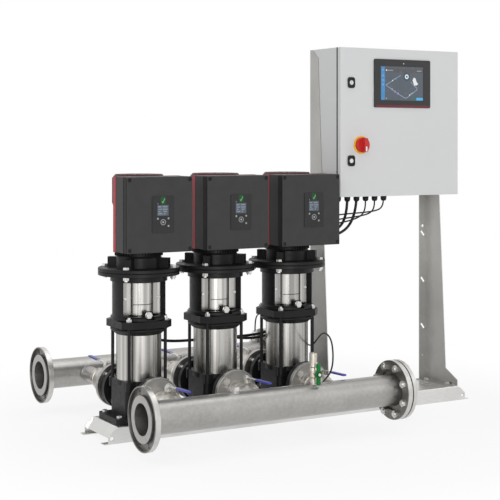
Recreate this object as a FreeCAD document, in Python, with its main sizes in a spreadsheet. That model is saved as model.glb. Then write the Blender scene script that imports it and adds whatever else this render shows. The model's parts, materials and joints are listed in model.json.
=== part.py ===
import FreeCAD, Part
import math
import os

import Sketcher

# Booster pump set: three vertical pumps on a base frame between a suction and a discharge
# manifold, each with a drive on its motor, and a control cabinet on two posts.
# +X runs along the manifolds, the pumps stand at Y 0 with the discharge at the front (-Y),
# and the origin is on the floor under the middle of the base frame. Millimetres.

PUMPS = 3
GLANDS = 6

SIZES = {
    # Row of pumps
    "row_start": -639.0,
    "pump_spacing": 320.0,
    "port_height": 90.0,
    "port_span": 300.0,
    "seat_gap": 0.3,
    # Base frame
    "base_length": 1542.0,
    "base_width": 216.0,
    "base_height": 58.0,
    "base_sheet": 3.0,
    "ear_reach": 37.0,
    "ear_low": 27.0,
    "ear_hole_radius": 7.0,
    "ear_hole_inset": 13.0,
    "ear_hole_height": 19.5,
    "lip_width": 30.0,
    "lip_reach": 17.0,
    "floor_bolts_x": 1490.0,
    "floor_bolts_y": 184.0,
    "floor_hole_radius": 6.0,
    # Cabinet and its posts
    "cabinet_left": 181.0,
    "cabinet_width": 587.0,
    "cabinet_bottom": 856.0,
    "cabinet_height": 590.0,
    "cabinet_rear": 102.0,
    "cabinet_box_depth": 188.0,
    "cabinet_wall": 2.0,
    "cabinet_lip": 20.0,
    "rim_height": 10.7,
    "door_gap": 4.0,
    "door_depth": 19.0,
    "door_wall": 1.5,
    "hinge_inset": 5.0,
    "hinge_pin_radius": 2.0,
    "hinge_clearance": 0.1,
    "hinge_arm_reach": 11.5,
    "knuckle_height": 20.0,
    "hinge_end_distance": 70.0,
    "seal_width": 12.0,
    "post_sheet": 3.0,
    "post_flange": 40.0,
    "post_foot": 56.0,
    "post_top_front": 48.0,
    "post_low_front": 28.0,
    "post_low_height": 122.0,
    "post_flare": 105.0,
    "post_flare_height": 83.0,
    "post_chamfer": 34.0,
    "post_top_depth": 16.0,
    "post_slot_start": 227.0,
    "post_slot_pitch": 198.5,
    "post_slot_length": 27.0,
    "post_slot_width": 9.0,
    "post_hole_low": 101.0,
    "post_hole_high": 656.0,
    # What the door carries
    "panel_from_left": 160.0,
    "panel_from_top": 41.0,
    "panel_width": 280.0,
    "panel_height": 194.0,
    "panel_proud": 5.0,
    "panel_body_depth": 44.0,
    "panel_body_inset": 14.0,
    "switch_from_left": 98.0,
    "switch_from_bottom": 205.0,
    "switch_collar_radius": 35.0,
    "switch_knob_radius": 30.0,
    "switch_shaft_radius": 6.0,
    "switch_body": 54.0,
    "lock_from_left": 50.5,
    "lock_from_top": 139.0,
    "lock_from_bottom": 142.5,
    "lock_housing_width": 33.0,
    "lock_housing_height": 43.0,
    "lock_barrel_radius": 9.0,
    "lock_tongue": 38.0,
    # Cable glands under the cabinet
    "gland_start": 243.0,
    "gland_pitch": 45.0,
    "gland_thread_radius": 10.0,
    "gland_across": 24.0,
    "gland_grip": 0.05,
    "power_cable_radius": 5.5,
    "signal_cable_radius": 3.0,
    # Manifolds
    "discharge_offset": 413.4,
    "suction_offset": 531.5,
    "manifold_left": 824.0,
    "manifold_right": 222.0,
    "manifold_pipe_radius": 57.15,
    "manifold_wall": 2.5,
    "collar_radius": 80.0,
    "collar_thickness": 3.5,
    "flange_radius": 110.0,
    "flange_thickness": 21.0,
    "flange_web": 9.0,
    "flange_rim_width": 6.0,
    "flange_hub_radius": 72.0,
    "flange_bolt_circle": 180.0,
    "flange_hole_radius": 9.0,
    "flange_bolts": 8.0,
    "gasket_thickness": 4.0,
    "gasket_radius": 109.0,
    "blind_thickness": 16.0,
    "blind_hole_radius": 8.75,
    "bolt_radius": 8.0,
    "bolt_across": 24.0,
    "bolt_head": 10.0,
    # Branches, valves and levers
    "branch_radius": 30.15,
    "branch_wall": 2.0,
    "valve_bore": 25.0,
    "valve_half_length": 73.0,
    "discharge_ball_offset": 240.0,
    "suction_ball_offset": 295.0,
    "port_flange_radius": 82.5,
    "port_flange_thickness": 20.0,
    "port_bolt_circle": 125.0,
    "mating_flange_thickness": 17.0,
    "nipple_across": 68.0,
    "check_valve_length": 43.0,
    "check_valve_radius": 53.0,
    "lever_height": 72.0,
    "lever_length": 162.0,
    "lever_width": 16.0,
    "lever_grip_start": 75.0,
    "stem_radius": 7.0,
    # Tank connection, plug and sensors
    "tank_x": -143.0,
    "tank_pipe_radius": 14.0,
    "tank_top": 315.0,
    "tank_handle_z": 242.0,
    "tank_handle_out": 36.0,
    "tank_handle_length": 86.0,
    "tank_handle_half": 14.0,
    "plug_x": -467.0,
    "sensor_x": 167.0,
    "discharge_sensor_x": -60.0,
    "sensor_tail": 18.0,
    "boss_radius": 17.5,
    "boss_top": 62.0,
    # Pump
    "foot_length": 250.0,
    "foot_depth": 176.0,
    "foot_thickness": 22.0,
    "foot_bolt_x": 107.5,
    "foot_bolt_y": 65.0,
    "foot_hole_radius": 6.5,
    "casing_half_x": 82.5,
    "casing_half_y": 73.0,
    "casing_top": 206.0,
    "chamber_radius": 62.0,
    "sleeve_radius": 82.9,
    "sleeve_wall": 2.5,
    "sleeve_top": 371.0,
    "stay_bolt_offset": 72.5,
    "stay_bolt_radius": 6.0,
    "head_skirt_radius": 105.0,
    "head_plate_half": 100.0,
    "head_plate_chamfer": 32.0,
    "head_plate_bottom": 397.0,
    "head_top": 423.0,
    "vent_face": 80.0,
    # Motor stool and guards
    "stool_foot_radius": 103.5,
    "stool_radius": 98.0,
    "stool_web": 19.0,
    "window_bottom": 440.0,
    "window_top": 563.0,
    "stool_top": 600.0,
    "stool_drum_radius": 105.0,
    "stool_flange_radius": 150.0,
    "stool_flange": 13.0,
    "stool_bore": 65.0,
    "guard_radius": 53.0,
    "guard_sheet": 1.5,
    "guard_ledge": 25.0,
    # Motor
    "motor_flange": 14.0,
    "motor_bolt_circle": 265.0,
    "motor_bolt_radius": 7.0,
    "motor_bracket_radius": 84.0,
    "motor_bracket_top": 650.0,
    "motor_lug_reach": 118.0,
    "motor_lug_width": 26.0,
    "stator_bottom": 657.0,
    "stator_top": 849.0,
    "stator_radius": 81.0,
    "stator_rib": 8.0,
    "stator_ribs": 48.0,
    "stator_rib_width": 1.8,
    "stator_bore": 56.0,
    "fan_cover_radius": 98.5,
    "fan_cover_top": 955.0,
    "fan_cover_wall": 2.0,
    # Rotor
    "shaft_radius": 9.0,
    "shaft_clearance": 0.08,
    "impeller_radius": 56.0,
    "coupling_radius": 34.0,
    "fan_radius": 78.0,
    # Drive
    "drive_half_width": 130.0,
    "drive_front": 178.0,
    "drive_rear": 62.0,
    "control_entry_rise": 30.0,
    "drive_bottom": 678.0,
    "drive_top": 949.0,
    "drive_cover_depth": 28.0,
    "drive_groove": 4.0,
    "drive_corner": 4.0,
    "drive_screw_inset": 11.0,
    "drive_screw_radius": 7.0,
    "drive_band_depth": 21.0,
    "drive_band_proud": 0.8,
    "hmi_offset": 11.5,
    "hmi_width": 87.0,
    "hmi_height": 131.0,
    "hmi_top": 880.0,
    "hmi_proud": 2.5,
}

vec = FreeCAD.Vector
doc = FreeCAD.newDocument("booster_pump_set")
sheet = doc.addObject("Spreadsheet::Sheet", "Sizes")
for line, (alias, amount) in enumerate(SIZES.items(), start=1):
    sheet.set(f"A{line}", alias.replace("_", " "))
    sheet.set(f"B{line}", str(amount))
    sheet.setAlias(f"B{line}", alias)
doc.recompute()


class Size:
    """A length with its value and the formula that makes it from the sheet's cells."""

    def __init__(self, value, text):
        self.value = value
        self.text = text

    def __add__(self, other):
        other = as_size(other)
        return Size(self.value + other.value, f"({self.text} + {other.text})")

    def __sub__(self, other):
        other = as_size(other)
        return Size(self.value - other.value, f"({self.text} - {other.text})")

    def __mul__(self, other):
        other = as_size(other)
        return Size(self.value * other.value, f"({self.text} * {other.text})")

    def __truediv__(self, other):
        other = as_size(other)
        return Size(self.value / other.value, f"({self.text} / {other.text})")

    def __neg__(self):
        return Size(-self.value, f"(0 - {self.text})")

    def __radd__(self, other):
        return as_size(other) + self

    def __rsub__(self, other):
        return as_size(other) - self

    def __rmul__(self, other):
        return as_size(other) * self


def as_size(number):
    """Takes a plain number as a size too."""
    if isinstance(number, Size):
        return number
    return Size(float(number), f"({float(number)!r})")


class Sheet:
    """Gives each cell of the sheet as a size, by its alias."""

    def __getattr__(self, alias):
        return Size(float(sheet.get(alias)), f"Sizes.{alias}")


size = Sheet()


def amount_of(number):
    """The plain value of a size."""
    return as_size(number).value


def bind(thing, **formulas):
    """Ties properties of an object to formulas of the sheet."""
    for prop, formula in formulas.items():
        thing.setExpression(prop, as_size(formula).text)
    return thing


def place(thing, x=0, y=0, z=0):
    """Ties an object's place to formulas of the sheet."""
    for letter, formula in zip("xyz", (x, y, z)):
        thing.setExpression(f"Placement.Base.{letter}", as_size(formula).text)
    return thing


def turned(thing, axis, angle):
    """Turns an object about an axis through its own origin."""
    thing.Placement = FreeCAD.Placement(vec(0, 0, 0), FreeCAD.Rotation(axis, angle))
    return thing


X_AXIS = vec(1, 0, 0)
Y_AXIS = vec(0, 1, 0)
Z_AXIS = vec(0, 0, 1)


# Bodies, sketches and their features
def new_body(name):
    return doc.addObject("PartDesign::Body", name)


def origin_part(owner, role):
    for feature in owner.Origin.OriginFeatures:
        if feature.Role == role:
            return feature
    raise ValueError(role)


def new_sketch(owner, plane, offset=0):
    """A sketch on one of the body's own planes, moved along its normal.

    XY_Plane has its normal along +Z, XZ_Plane along -Y and YZ_Plane along +X.
    """
    made = owner.newObject("Sketcher::SketchObject", owner.Name + "_sketch")
    made.AttachmentSupport = [(origin_part(owner, plane), "")]
    made.MapMode = "FlatFace"
    made.setExpression("AttachmentOffset.Base.z", as_size(offset).text)
    return made


def hold_point(sketch, item, end, x, y):
    """Fixes one point of a sketch by its two distances from the sketch's origin."""
    for kind, axis, distance in (("DistanceX", -2, x), ("DistanceY", -1, y)):
        if not isinstance(distance, Size) and distance == 0:
            sketch.addConstraint(Sketcher.Constraint("PointOnObject", item, end, axis))
            continue
        value = amount_of(distance)
        index = sketch.addConstraint(Sketcher.Constraint(kind, -1, 1, item, end, value))
        if isinstance(distance, Size):
            sketch.setExpression(f"Constraints[{index}]", distance.text)


def outline(sketch, points):
    """A closed outline of straight edges through the points."""
    first = sketch.GeometryCount
    count = len(points)
    corners = [vec(amount_of(x), amount_of(y), 0) for x, y in points]
    for index in range(count):
        sketch.addGeometry(Part.LineSegment(corners[index], corners[(index + 1) % count]))
    for index in range(count):
        following = first + (index + 1) % count
        sketch.addConstraint(Sketcher.Constraint("Coincident", first + index, 2, following, 1))
    for index, (x, y) in enumerate(points):
        hold_point(sketch, first + index, 1, x, y)
    return sketch


def rectangle(sketch, x_low, y_low, x_high, y_high):
    return outline(sketch, [(x_low, y_low), (x_high, y_low), (x_high, y_high), (x_low, y_high)])


def circle(sketch, x, y, radius):
    centre = vec(amount_of(x), amount_of(y), 0)
    item = sketch.addGeometry(Part.Circle(centre, Z_AXIS, amount_of(radius)))
    hold_point(sketch, item, 3, x, y)
    index = sketch.addConstraint(Sketcher.Constraint("Radius", item, amount_of(radius)))
    sketch.setExpression(f"Constraints[{index}]", as_size(radius).text)
    return sketch


def hexagon(sketch, x, y, across):
    """A hexagon of a given width across its flats, with two flats level."""
    flat = across / 2
    corner = across / math.sqrt(3)
    offsets = [(1, 0), (0.5, 1), (-0.5, 1), (-1, 0), (-0.5, -1), (0.5, -1)]
    return outline(sketch, [(x + corner * dx, y + flat * dy) for dx, dy in offsets])


def pad(owner, sketch, length, back=False, both=False):
    made = owner.newObject("PartDesign::Pad", owner.Name + "_pad")
    made.Profile = sketch
    made.Reversed = back
    made.Midplane = both
    bind(made, Length=length)
    return made


def pocket(owner, sketch, length=None, back=False, both=False):
    """Cuts against the sketch's normal, or along it with back; without a length right through."""
    made = owner.newObject("PartDesign::Pocket", owner.Name + "_pocket")
    made.Profile = sketch
    made.Reversed = back
    made.Midplane = both
    if length is None:
        made.Type = "ThroughAll"
    else:
        bind(made, Length=length)
    return made


def revolve(owner, sketch, axis="V_Axis", cut=False):
    kind = "PartDesign::Groove" if cut else "PartDesign::Revolution"
    made = owner.newObject(kind, owner.Name + "_turned")
    made.Profile = sketch
    made.ReferenceAxis = (sketch, [axis])
    made.Angle = 360
    return made


def mirror(owner, features, plane):
    made = owner.newObject("PartDesign::Mirrored", owner.Name + "_mirrored")
    made.Originals = features
    made.MirrorPlane = (origin_part(owner, plane), [""])
    owner.Tip = made
    return made


def polar(owner, features, axis, count):
    made = owner.newObject("PartDesign::PolarPattern", owner.Name + "_polar")
    made.Originals = features
    made.Axis = (origin_part(owner, axis), [""])
    made.Angle = 360
    made.Occurrences = int(count)
    owner.Tip = made
    return made


def edges_where(shape, test):
    """Names of a shape's edges whose middle and direction pass a test."""
    names = []
    for index, edge in enumerate(shape.Edges, start=1):
        middle = edge.valueAt((edge.FirstParameter + edge.LastParameter) / 2)
        if test(edge, middle):
            names.append(f"Edge{index}")
    return names


def rounded(owner, feature, radius, test):
    """Rounds the edges that pass a test."""
    doc.recompute()
    made = owner.newObject("PartDesign::Fillet", owner.Name + "_rounded")
    made.Base = (feature, edges_where(feature.Shape, test))
    bind(made, Radius=radius)
    return made


def upright(edge, middle):
    """True for a straight edge that runs up."""
    if edge.Curve.TypeId != "Part::GeomLine":
        return False
    return abs(edge.tangentAt(edge.FirstParameter).z) > 0.999


# Simple solids and what joins them
def cylinder(name, radius, height, x=0, y=0, z=0, axis=None, angle=0):
    made = bind(doc.addObject("Part::Cylinder", name), Radius=radius, Height=height)
    if axis is not None:
        turned(made, axis, angle)
    return place(made, x, y, z)


def box(name, low, high):
    made = doc.addObject("Part::Box", name)
    sides = [as_size(top) - as_size(bottom) for bottom, top in zip(low, high)]
    bind(made, Length=sides[0], Width=sides[1], Height=sides[2])
    return place(made, *low)


def prism(name, across, height, x=0, y=0, z=0, axis=None, angle=0):
    """A hexagonal prism of a given width across its flats."""
    made = doc.addObject("Part::Prism", name)
    made.Polygon = 6
    bind(made, Circumradius=across / math.sqrt(3), Height=height)
    if axis is not None:
        turned(made, axis, angle)
    return place(made, x, y, z)


def fuse(name, *pieces):
    made = doc.addObject("Part::MultiFuse", name)
    made.Shapes = list(pieces)
    return made


def cut(name, base, *tools):
    made = doc.addObject("Part::Cut", name)
    made.Base = base
    made.Tool = tools[0] if len(tools) == 1 else fuse(name + "_tools", *tools)
    return made


def copy_at(name, master, x=0, y=0, z=0, angle=0):
    """One more of a piece that is already made, moved and turned about the upright axis."""
    made = doc.addObject("App::Link", name)
    made.LinkedObject = master
    if angle:
        turned(made, Z_AXIS, angle)
    return place(made, x, y, z)


NODES = []


def keep(label, *pieces):
    """Makes one named node of one or more pieces, each still a solid of its own."""
    if len(pieces) == 1 and pieces[0].TypeId != "App::Link":
        made = pieces[0]
    else:
        made = doc.addObject("Part::Compound", label)
        made.Links = list(pieces)
    made.Label = label
    NODES.append(made)
    return made


# Places that several pieces share
axis_height = size.base_height + size.port_height
port_face = size.port_span / 2
cabinet_right = size.cabinet_left + size.cabinet_width
cabinet_top = size.cabinet_bottom + size.cabinet_height
box_front = size.cabinet_rear - size.cabinet_box_depth
door_back = box_front - size.door_gap
door_front = door_back - size.door_depth
post_rear = size.cabinet_rear + size.post_sheet
hinge_x = cabinet_right - size.hinge_inset
hinge_y = door_back - size.hinge_inset
manifold_bore = size.manifold_pipe_radius - size.manifold_wall
panel_left = size.cabinet_left + size.panel_from_left
panel_bottom = cabinet_top - size.panel_from_top - size.panel_height
switch_x = size.cabinet_left + size.switch_from_left
switch_z = size.cabinet_bottom + size.switch_from_bottom
lock_x = size.cabinet_left + size.lock_from_left
lock_heights = (cabinet_top - size.lock_from_top, size.cabinet_bottom + size.lock_from_bottom)


def pump_x(pump):
    return size.row_start + size.pump_spacing * pump


def gland_x(gland):
    return size.gland_start + size.gland_pitch * gland


def four_corners(x, y):
    return [(x, y), (-x, y), (-x, -y), (x, -y)]


# Base frame: a folded tray with ears on both skirts and sloping end plates
def post_bolt_places():
    inner_left = size.cabinet_left + 16
    inner_right = cabinet_right - 12
    return [(inner_left, 60), (inner_left + 20, -10), (inner_right, -55), (inner_right - 20, 60)]


def base_frame():
    body = new_body("base_frame")
    end = size.base_length / 2
    ear = end + size.ear_reach
    side = size.base_width / 2
    top = size.base_height
    skirt = new_sketch(body, "XZ_Plane", side)
    shoulder = (top + size.ear_low) / 2
    half = [(ear, 0), (ear, size.ear_low), (end + size.ear_reach / 2, shoulder + 3), (end, top)]
    outline(skirt, half + [(-x, z) for x, z in reversed(half)])
    front = pad(body, skirt, size.base_sheet, back=True)
    mirror(body, [front], "XZ_Plane")
    plate = rectangle(new_sketch(body, "XY_Plane", top - size.base_sheet), -end, -side, end, side)
    pad(body, plate, size.base_sheet)
    slopes = new_sketch(body, "XZ_Plane")
    low = size.ear_low - 6
    drop = size.base_sheet * 1.5
    for way in (1, -1):
        slope = [(end, top), (ear - 3, low), (ear - 3 - drop, low), (end - drop, top)]
        outline(slopes, [(x * way, z) for x, z in slope])
    pad(body, slopes, size.base_width - size.base_sheet, both=True)
    lips = new_sketch(body, "XY_Plane")
    tip = ear + size.lip_reach
    for way in (1, -1):
        rectangle(lips, -tip, (side - size.lip_width) * way, tip, side * way)
    last = pad(body, lips, size.base_sheet)
    last = rounded(body, last, 2.5, lambda edge, middle: abs(abs(middle.y) - side.value) < 0.01
                   and abs(middle.z - top.value) < 0.01 and abs(middle.x) < 1)
    ears = new_sketch(body, "XZ_Plane")
    for way in (1, -1):
        circle(ears, (ear - size.ear_hole_inset) * way, size.ear_hole_height, size.ear_hole_radius)
    pocket(body, ears, both=True)
    floor = new_sketch(body, "XY_Plane")
    for x, y in four_corners(size.floor_bolts_x / 2, size.floor_bolts_y / 2):
        circle(floor, x, y, size.floor_hole_radius)
    pocket(body, floor, size.base_sheet, back=True)
    bolts = new_sketch(body, "XY_Plane", top)
    for pump in range(PUMPS):
        for x, y in four_corners(size.foot_bolt_x, size.foot_bolt_y):
            circle(bolts, pump_x(pump) + x, y, size.foot_hole_radius)
    for x, y in post_bolt_places():
        circle(bolts, x, y, size.foot_hole_radius)
    pocket(body, bolts, size.base_sheet)
    keep("base_frame", body)


# Cabinet posts: a tapered plate with a flange behind the cabinet and a foot on the base frame
def cabinet_post(label, plate_x, way, flared, foot_bolts):
    body = new_body(label)
    start = plate_x if way > 0 else plate_x - size.post_sheet
    sheet_side = new_sketch(body, "YZ_Plane", start)
    foot = size.base_height
    points = [(post_rear, foot), (post_rear, cabinet_top)]
    points += [(post_rear - size.post_top_depth, cabinet_top)]
    points += [(size.post_top_front, cabinet_top - size.post_chamfer)]
    points += [(-size.post_low_front, size.post_low_height)]
    if flared:
        points += [(-size.post_flare, size.post_flare_height), (-size.post_flare, foot)]
    else:
        points += [(-size.post_low_front, foot)]
    outline(sheet_side, points)
    pad(body, sheet_side, size.post_sheet)
    behind = new_sketch(body, "XZ_Plane", -size.cabinet_rear)
    edge = plate_x + size.post_flange * way
    flange_top = cabinet_top - size.post_chamfer
    rectangle(behind, plate_x, foot, edge, flange_top)
    middle = plate_x + size.post_flange * way * 0.55
    along, across = (0.6, 0.8), (0.8, -0.6)
    half, thin = size.post_slot_length / 2, size.post_slot_width / 2
    for step in range(3):
        z = foot + size.post_slot_start + size.post_slot_pitch * step
        corners = [(half * a * along[0] + thin * b * across[0], half * a * along[1] + thin * b * across[1])
                   for a, b in ((-1, -1), (1, -1), (1, 1), (-1, 1))]
        outline(behind, [(middle + x * way, z + y) for x, y in corners])
    circle(behind, middle, foot + size.post_hole_low, 2.5)
    circle(behind, middle, foot + size.post_hole_high, 6)
    for z in cabinet_bolt_heights():
        circle(behind, middle, z, 4.5)
    pad(body, behind, size.post_sheet, back=True)
    sole = new_sketch(body, "XY_Plane", foot)
    front = size.post_flare if flared else size.post_low_front
    rectangle(sole, plate_x, -front, plate_x + size.post_foot * way, post_rear)
    for x, y in foot_bolts:
        circle(sole, x, y, size.foot_hole_radius)
    pad(body, sole, size.post_sheet)
    keep(label, body)


def cabinet_bolt_heights():
    return [size.cabinet_bottom + 40, cabinet_top - size.post_chamfer - 20]


# Cabinet box with its return lip, the rim that meets the door seal, and the gland holes
def cabinet_box():
    body = new_body("cabinet_box")
    left, right = size.cabinet_left, cabinet_right
    low, high = size.cabinet_bottom, cabinet_top
    wall, lip = size.cabinet_wall, size.cabinet_lip
    outer = rectangle(new_sketch(body, "XZ_Plane", -size.cabinet_rear), left, low, right, high)
    pad(body, outer, size.cabinet_box_depth)
    mouth = new_sketch(body, "XZ_Plane", -box_front)
    rectangle(mouth, left + lip, low + lip, right - lip, high - lip)
    pocket(body, mouth, size.cabinet_box_depth - wall)
    inside = new_sketch(body, "XZ_Plane", -box_front - wall)
    rectangle(inside, left + wall, low + wall, right - wall, high - wall)
    pocket(body, inside, size.cabinet_box_depth - wall * 2)
    rim = new_sketch(body, "XZ_Plane", -box_front)
    edge = lip - wall
    rectangle(rim, left + lip, low + lip, right - lip, high - lip)
    rectangle(rim, left + edge, low + edge, right - edge, high - edge)
    pad(body, rim, size.rim_height)
    holes = new_sketch(body, "XY_Plane", low)
    for gland in range(GLANDS):
        circle(holes, gland_x(gland), 0, size.gland_thread_radius + 0.3)
    pocket(body, holes, wall, back=True)
    bolts = new_sketch(body, "XZ_Plane", -size.cabinet_rear)
    for x, z in cabinet_bolt_places():
        circle(bolts, x, z, 4.5)
    pocket(body, bolts, wall, back=True)
    keep("cabinet_box", body)


def cabinet_bolt_places():
    inset = size.post_flange * 0.55
    columns = [size.cabinet_left - size.post_sheet + inset, cabinet_right + size.post_sheet - inset]
    return [(x, z) for x in columns for z in cabinet_bolt_heights()]


def hinge_heights():
    return [size.cabinet_bottom + size.hinge_end_distance, cabinet_top - size.hinge_end_distance]


def door_hinges():
    """An angled arm from the box's lip to a pin that stands in the door's knuckle."""
    arms = []
    for number, z in enumerate(hinge_heights()):
        low = z + size.knuckle_height + size.seat_gap
        reach = size.hinge_arm_reach
        near = hinge_x - reach
        arm = box(f"hinge_arm_{number}", (near, hinge_y - 1.5, low), (hinge_x, hinge_y + 1.5, low + 12))
        leg = box(f"hinge_leg_{number}", (near - 1.5, hinge_y - 1.5, low), (near + 1.5, box_front, low + 12))
        eye = cylinder(f"hinge_eye_{number}", 3, 12, hinge_x, hinge_y, low)
        pin = cylinder(f"hinge_pin_{number}", size.hinge_pin_radius,
                       size.knuckle_height + size.seat_gap, hinge_x, hinge_y, z)
        arms.append(fuse(f"hinge_{number}", arm, leg, eye, pin))
    keep("door_hinges", *arms)


def cabinet_door():
    body = new_body("cabinet_door")
    left, right = size.cabinet_left, cabinet_right
    low, high = size.cabinet_bottom, cabinet_top
    wall = size.door_wall
    outer = rectangle(new_sketch(body, "XZ_Plane", -door_front), left, low, right, high)
    pad(body, outer, size.door_depth, back=True)
    inner = new_sketch(body, "XZ_Plane", -door_back)
    rectangle(inner, left + wall, low + wall, right - wall, high - wall)
    pocket(body, inner, size.door_depth - wall, back=True)
    for z in hinge_heights():
        knuckle = new_sketch(body, "XY_Plane", z)
        rectangle(knuckle, hinge_x - 4, hinge_y - 4, right - wall / 2, hinge_y + 4)
        circle(knuckle, hinge_x, hinge_y, size.hinge_pin_radius + size.hinge_clearance)
        pad(body, knuckle, size.knuckle_height)
    openings = new_sketch(body, "XZ_Plane", -door_front)
    inset = size.panel_body_inset - 1
    rectangle(openings, panel_left + inset, panel_bottom + inset,
              panel_left + size.panel_width - inset, panel_bottom + size.panel_height - inset)
    circle(openings, switch_x, switch_z, size.switch_shaft_radius + 5)
    for z in lock_heights:
        circle(openings, lock_x, z, size.lock_barrel_radius + 2)
    pocket(body, openings, wall)
    keep("cabinet_door", body)


def door_seal():
    body = new_body("door_seal")
    ring = new_sketch(body, "XZ_Plane", -(door_front + size.door_wall))
    middle = size.cabinet_lip - size.cabinet_wall / 2
    for inset in (middle - size.seal_width / 2, middle + size.seal_width / 2):
        rectangle(ring, size.cabinet_left + inset, size.cabinet_bottom + inset,
                  cabinet_right - inset, cabinet_top - inset)
    rim_tip = box_front - size.rim_height
    pad(body, ring, rim_tip - size.seat_gap - door_front - size.door_wall, back=True)
    keep("door_seal", body)


def touch_panel():
    body = new_body("touch_panel")
    left, low = panel_left, panel_bottom
    right, high = left + size.panel_width, low + size.panel_height
    bezel = rectangle(new_sketch(body, "XZ_Plane", -door_front), left, low, right, high)
    last = pad(body, bezel, size.panel_proud)
    last = rounded(body, last, 6, lambda edge, middle: edge.Length < size.panel_proud.value + 0.1)
    screen = new_sketch(body, "XZ_Plane", size.panel_proud - door_front)
    rectangle(screen, left + 31, low + 29, right - 36, high - 28)
    pocket(body, screen, 1.2)
    case = new_sketch(body, "XZ_Plane", -door_front)
    inset = size.panel_body_inset
    rectangle(case, left + inset, low + inset, right - inset, high - inset)
    pad(body, case, size.panel_body_depth, back=True)
    keep("touch_panel", body)


def main_switch():
    """The yellow collar with the switch's body behind the door, and the knob that turns in it."""
    shaft = size.switch_shaft_radius
    inside = door_front + size.door_wall
    y_turn = {"axis": X_AXIS, "angle": 90}
    collar = cylinder("collar_plate", size.switch_collar_radius, 5, 0, 0, 0, **y_turn)
    neck = cylinder("collar_neck", shaft + 4.5, 30, 0, 25, 0, **y_turn)
    half = size.switch_body / 2
    block = box("switch_block", (-half, inside - door_front, -half), (half, inside - door_front + 40, half))
    hole = cylinder("collar_hole", shaft + 0.3, 31.5, 0, 25.2, 0, **y_turn)
    made = cut("switch_collar", fuse("switch_shell", collar, neck, block), hole)
    place(made, switch_x, door_front, switch_z)
    keep("switch_collar", made)
    body = new_body("main_switch_knob")
    disc = circle(new_sketch(body, "XZ_Plane", 5 + size.seat_gap), 0, 0, size.switch_knob_radius)
    pad(body, disc, 13)
    grip = new_sketch(body, "XZ_Plane", 5 + size.seat_gap)
    grip_half = size.switch_knob_radius - 3
    rectangle(grip, -8, -grip_half, 8, grip_half)
    last = pad(body, grip, 34)
    last = rounded(body, last, 6, lambda edge, middle: edge.Length > 15 and abs(middle.x) < 0.1
                   and abs(middle.z) > grip_half.value - 0.1 and middle.y < -38)
    stem = circle(new_sketch(body, "XZ_Plane", 6), 0, 0, shaft)
    pad(body, stem, 30, back=True)
    place(body, switch_x, door_front, switch_z)
    keep("main_switch_knob", body)


def door_locks():
    """Housings on the door, and in each a quarter-turn insert whose tongue holds behind the lip."""
    width, height = size.lock_housing_width / 2, size.lock_housing_height / 2
    body = new_body("lock_housing")
    face = rectangle(new_sketch(body, "XZ_Plane"), -width, -height, width, height)
    last = pad(body, face, 5)
    last = rounded(body, last, 10, lambda edge, middle: edge.Length < 5.1)
    neck = circle(new_sketch(body, "XZ_Plane"), 0, 0, size.lock_barrel_radius + 1.7)
    pad(body, neck, 16, back=True)
    barrel_hole = circle(new_sketch(body, "XZ_Plane", 6), 0, 0, size.lock_barrel_radius + 0.3)
    pocket(body, barrel_hole, 30)
    housings = []
    for number, z in enumerate(lock_heights):
        housings.append(copy_at(f"lock_housing_{number}", body, lock_x, door_front, z))
    keep("lock_housings", *housings)
    insert = new_body("lock_insert")
    behind = box_front + size.cabinet_wall + 2 - door_front
    barrel = circle(new_sketch(insert, "XZ_Plane", 4), 0, 0, size.lock_barrel_radius)
    pad(insert, barrel, behind + 4 + 3, back=True)
    tongue = new_sketch(insert, "XZ_Plane", -behind)
    rectangle(tongue, -7, -9, 7, size.lock_tongue)
    pad(insert, tongue, 3, back=True)
    slot = rectangle(new_sketch(insert, "XZ_Plane", 4), -1.5, -6, 1.5, 6)
    pocket(insert, slot, 4)
    for label, z in zip(("door_lock_upper", "door_lock_lower"), lock_heights):
        keep(label, copy_at(label + "_insert", insert, lock_x, door_front, z))


def cabinet_inside():
    """The mounting plate on its studs, and the modules on two rails."""
    left, right = size.cabinet_left + 40, cabinet_right - 40
    low, high = size.cabinet_bottom + 40, cabinet_top - 40
    wall_face = size.cabinet_rear - size.cabinet_wall
    front = wall_face - 22
    plate = box("back_plate", (left, front, low), (right, front + 2.5, high))
    studs = []
    for number, (x, z) in enumerate([(left + 15, low + 15), (right - 15, low + 15),
                                     (right - 15, high - 15), (left + 15, high - 15)]):
        studs.append(cylinder(f"plate_stud_{number}", 5, wall_face - front, x, wall_face, z,
                              axis=X_AXIS, angle=90))
    keep("mounting_plate", fuse("mounting_plate", plate, *studs))
    modules = []
    rows = [(low + 90, [(30, 54, 58), (95, 54, 58), (160, 54, 58), (240, 90, 70), (350, 120, 62)]),
            (low + 290, [(30, 120, 95), (170, 90, 60), (290, 160, 75)])]
    for rail, (z, units) in enumerate(rows):
        bar = box(f"rail_{rail}", (left + 20, front - 7.5, z - 17.5), (right - 20, front, z + 17.5))
        modules.append(bar)
        for number, (x, width, depth) in enumerate(units):
            modules.append(box(f"module_{rail}_{number}", (left + x, front - 7.5 - depth, z - 45),
                               (left + x + width, front - 7.5, z + 45)))
    keep("controller_modules", *modules)


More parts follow.
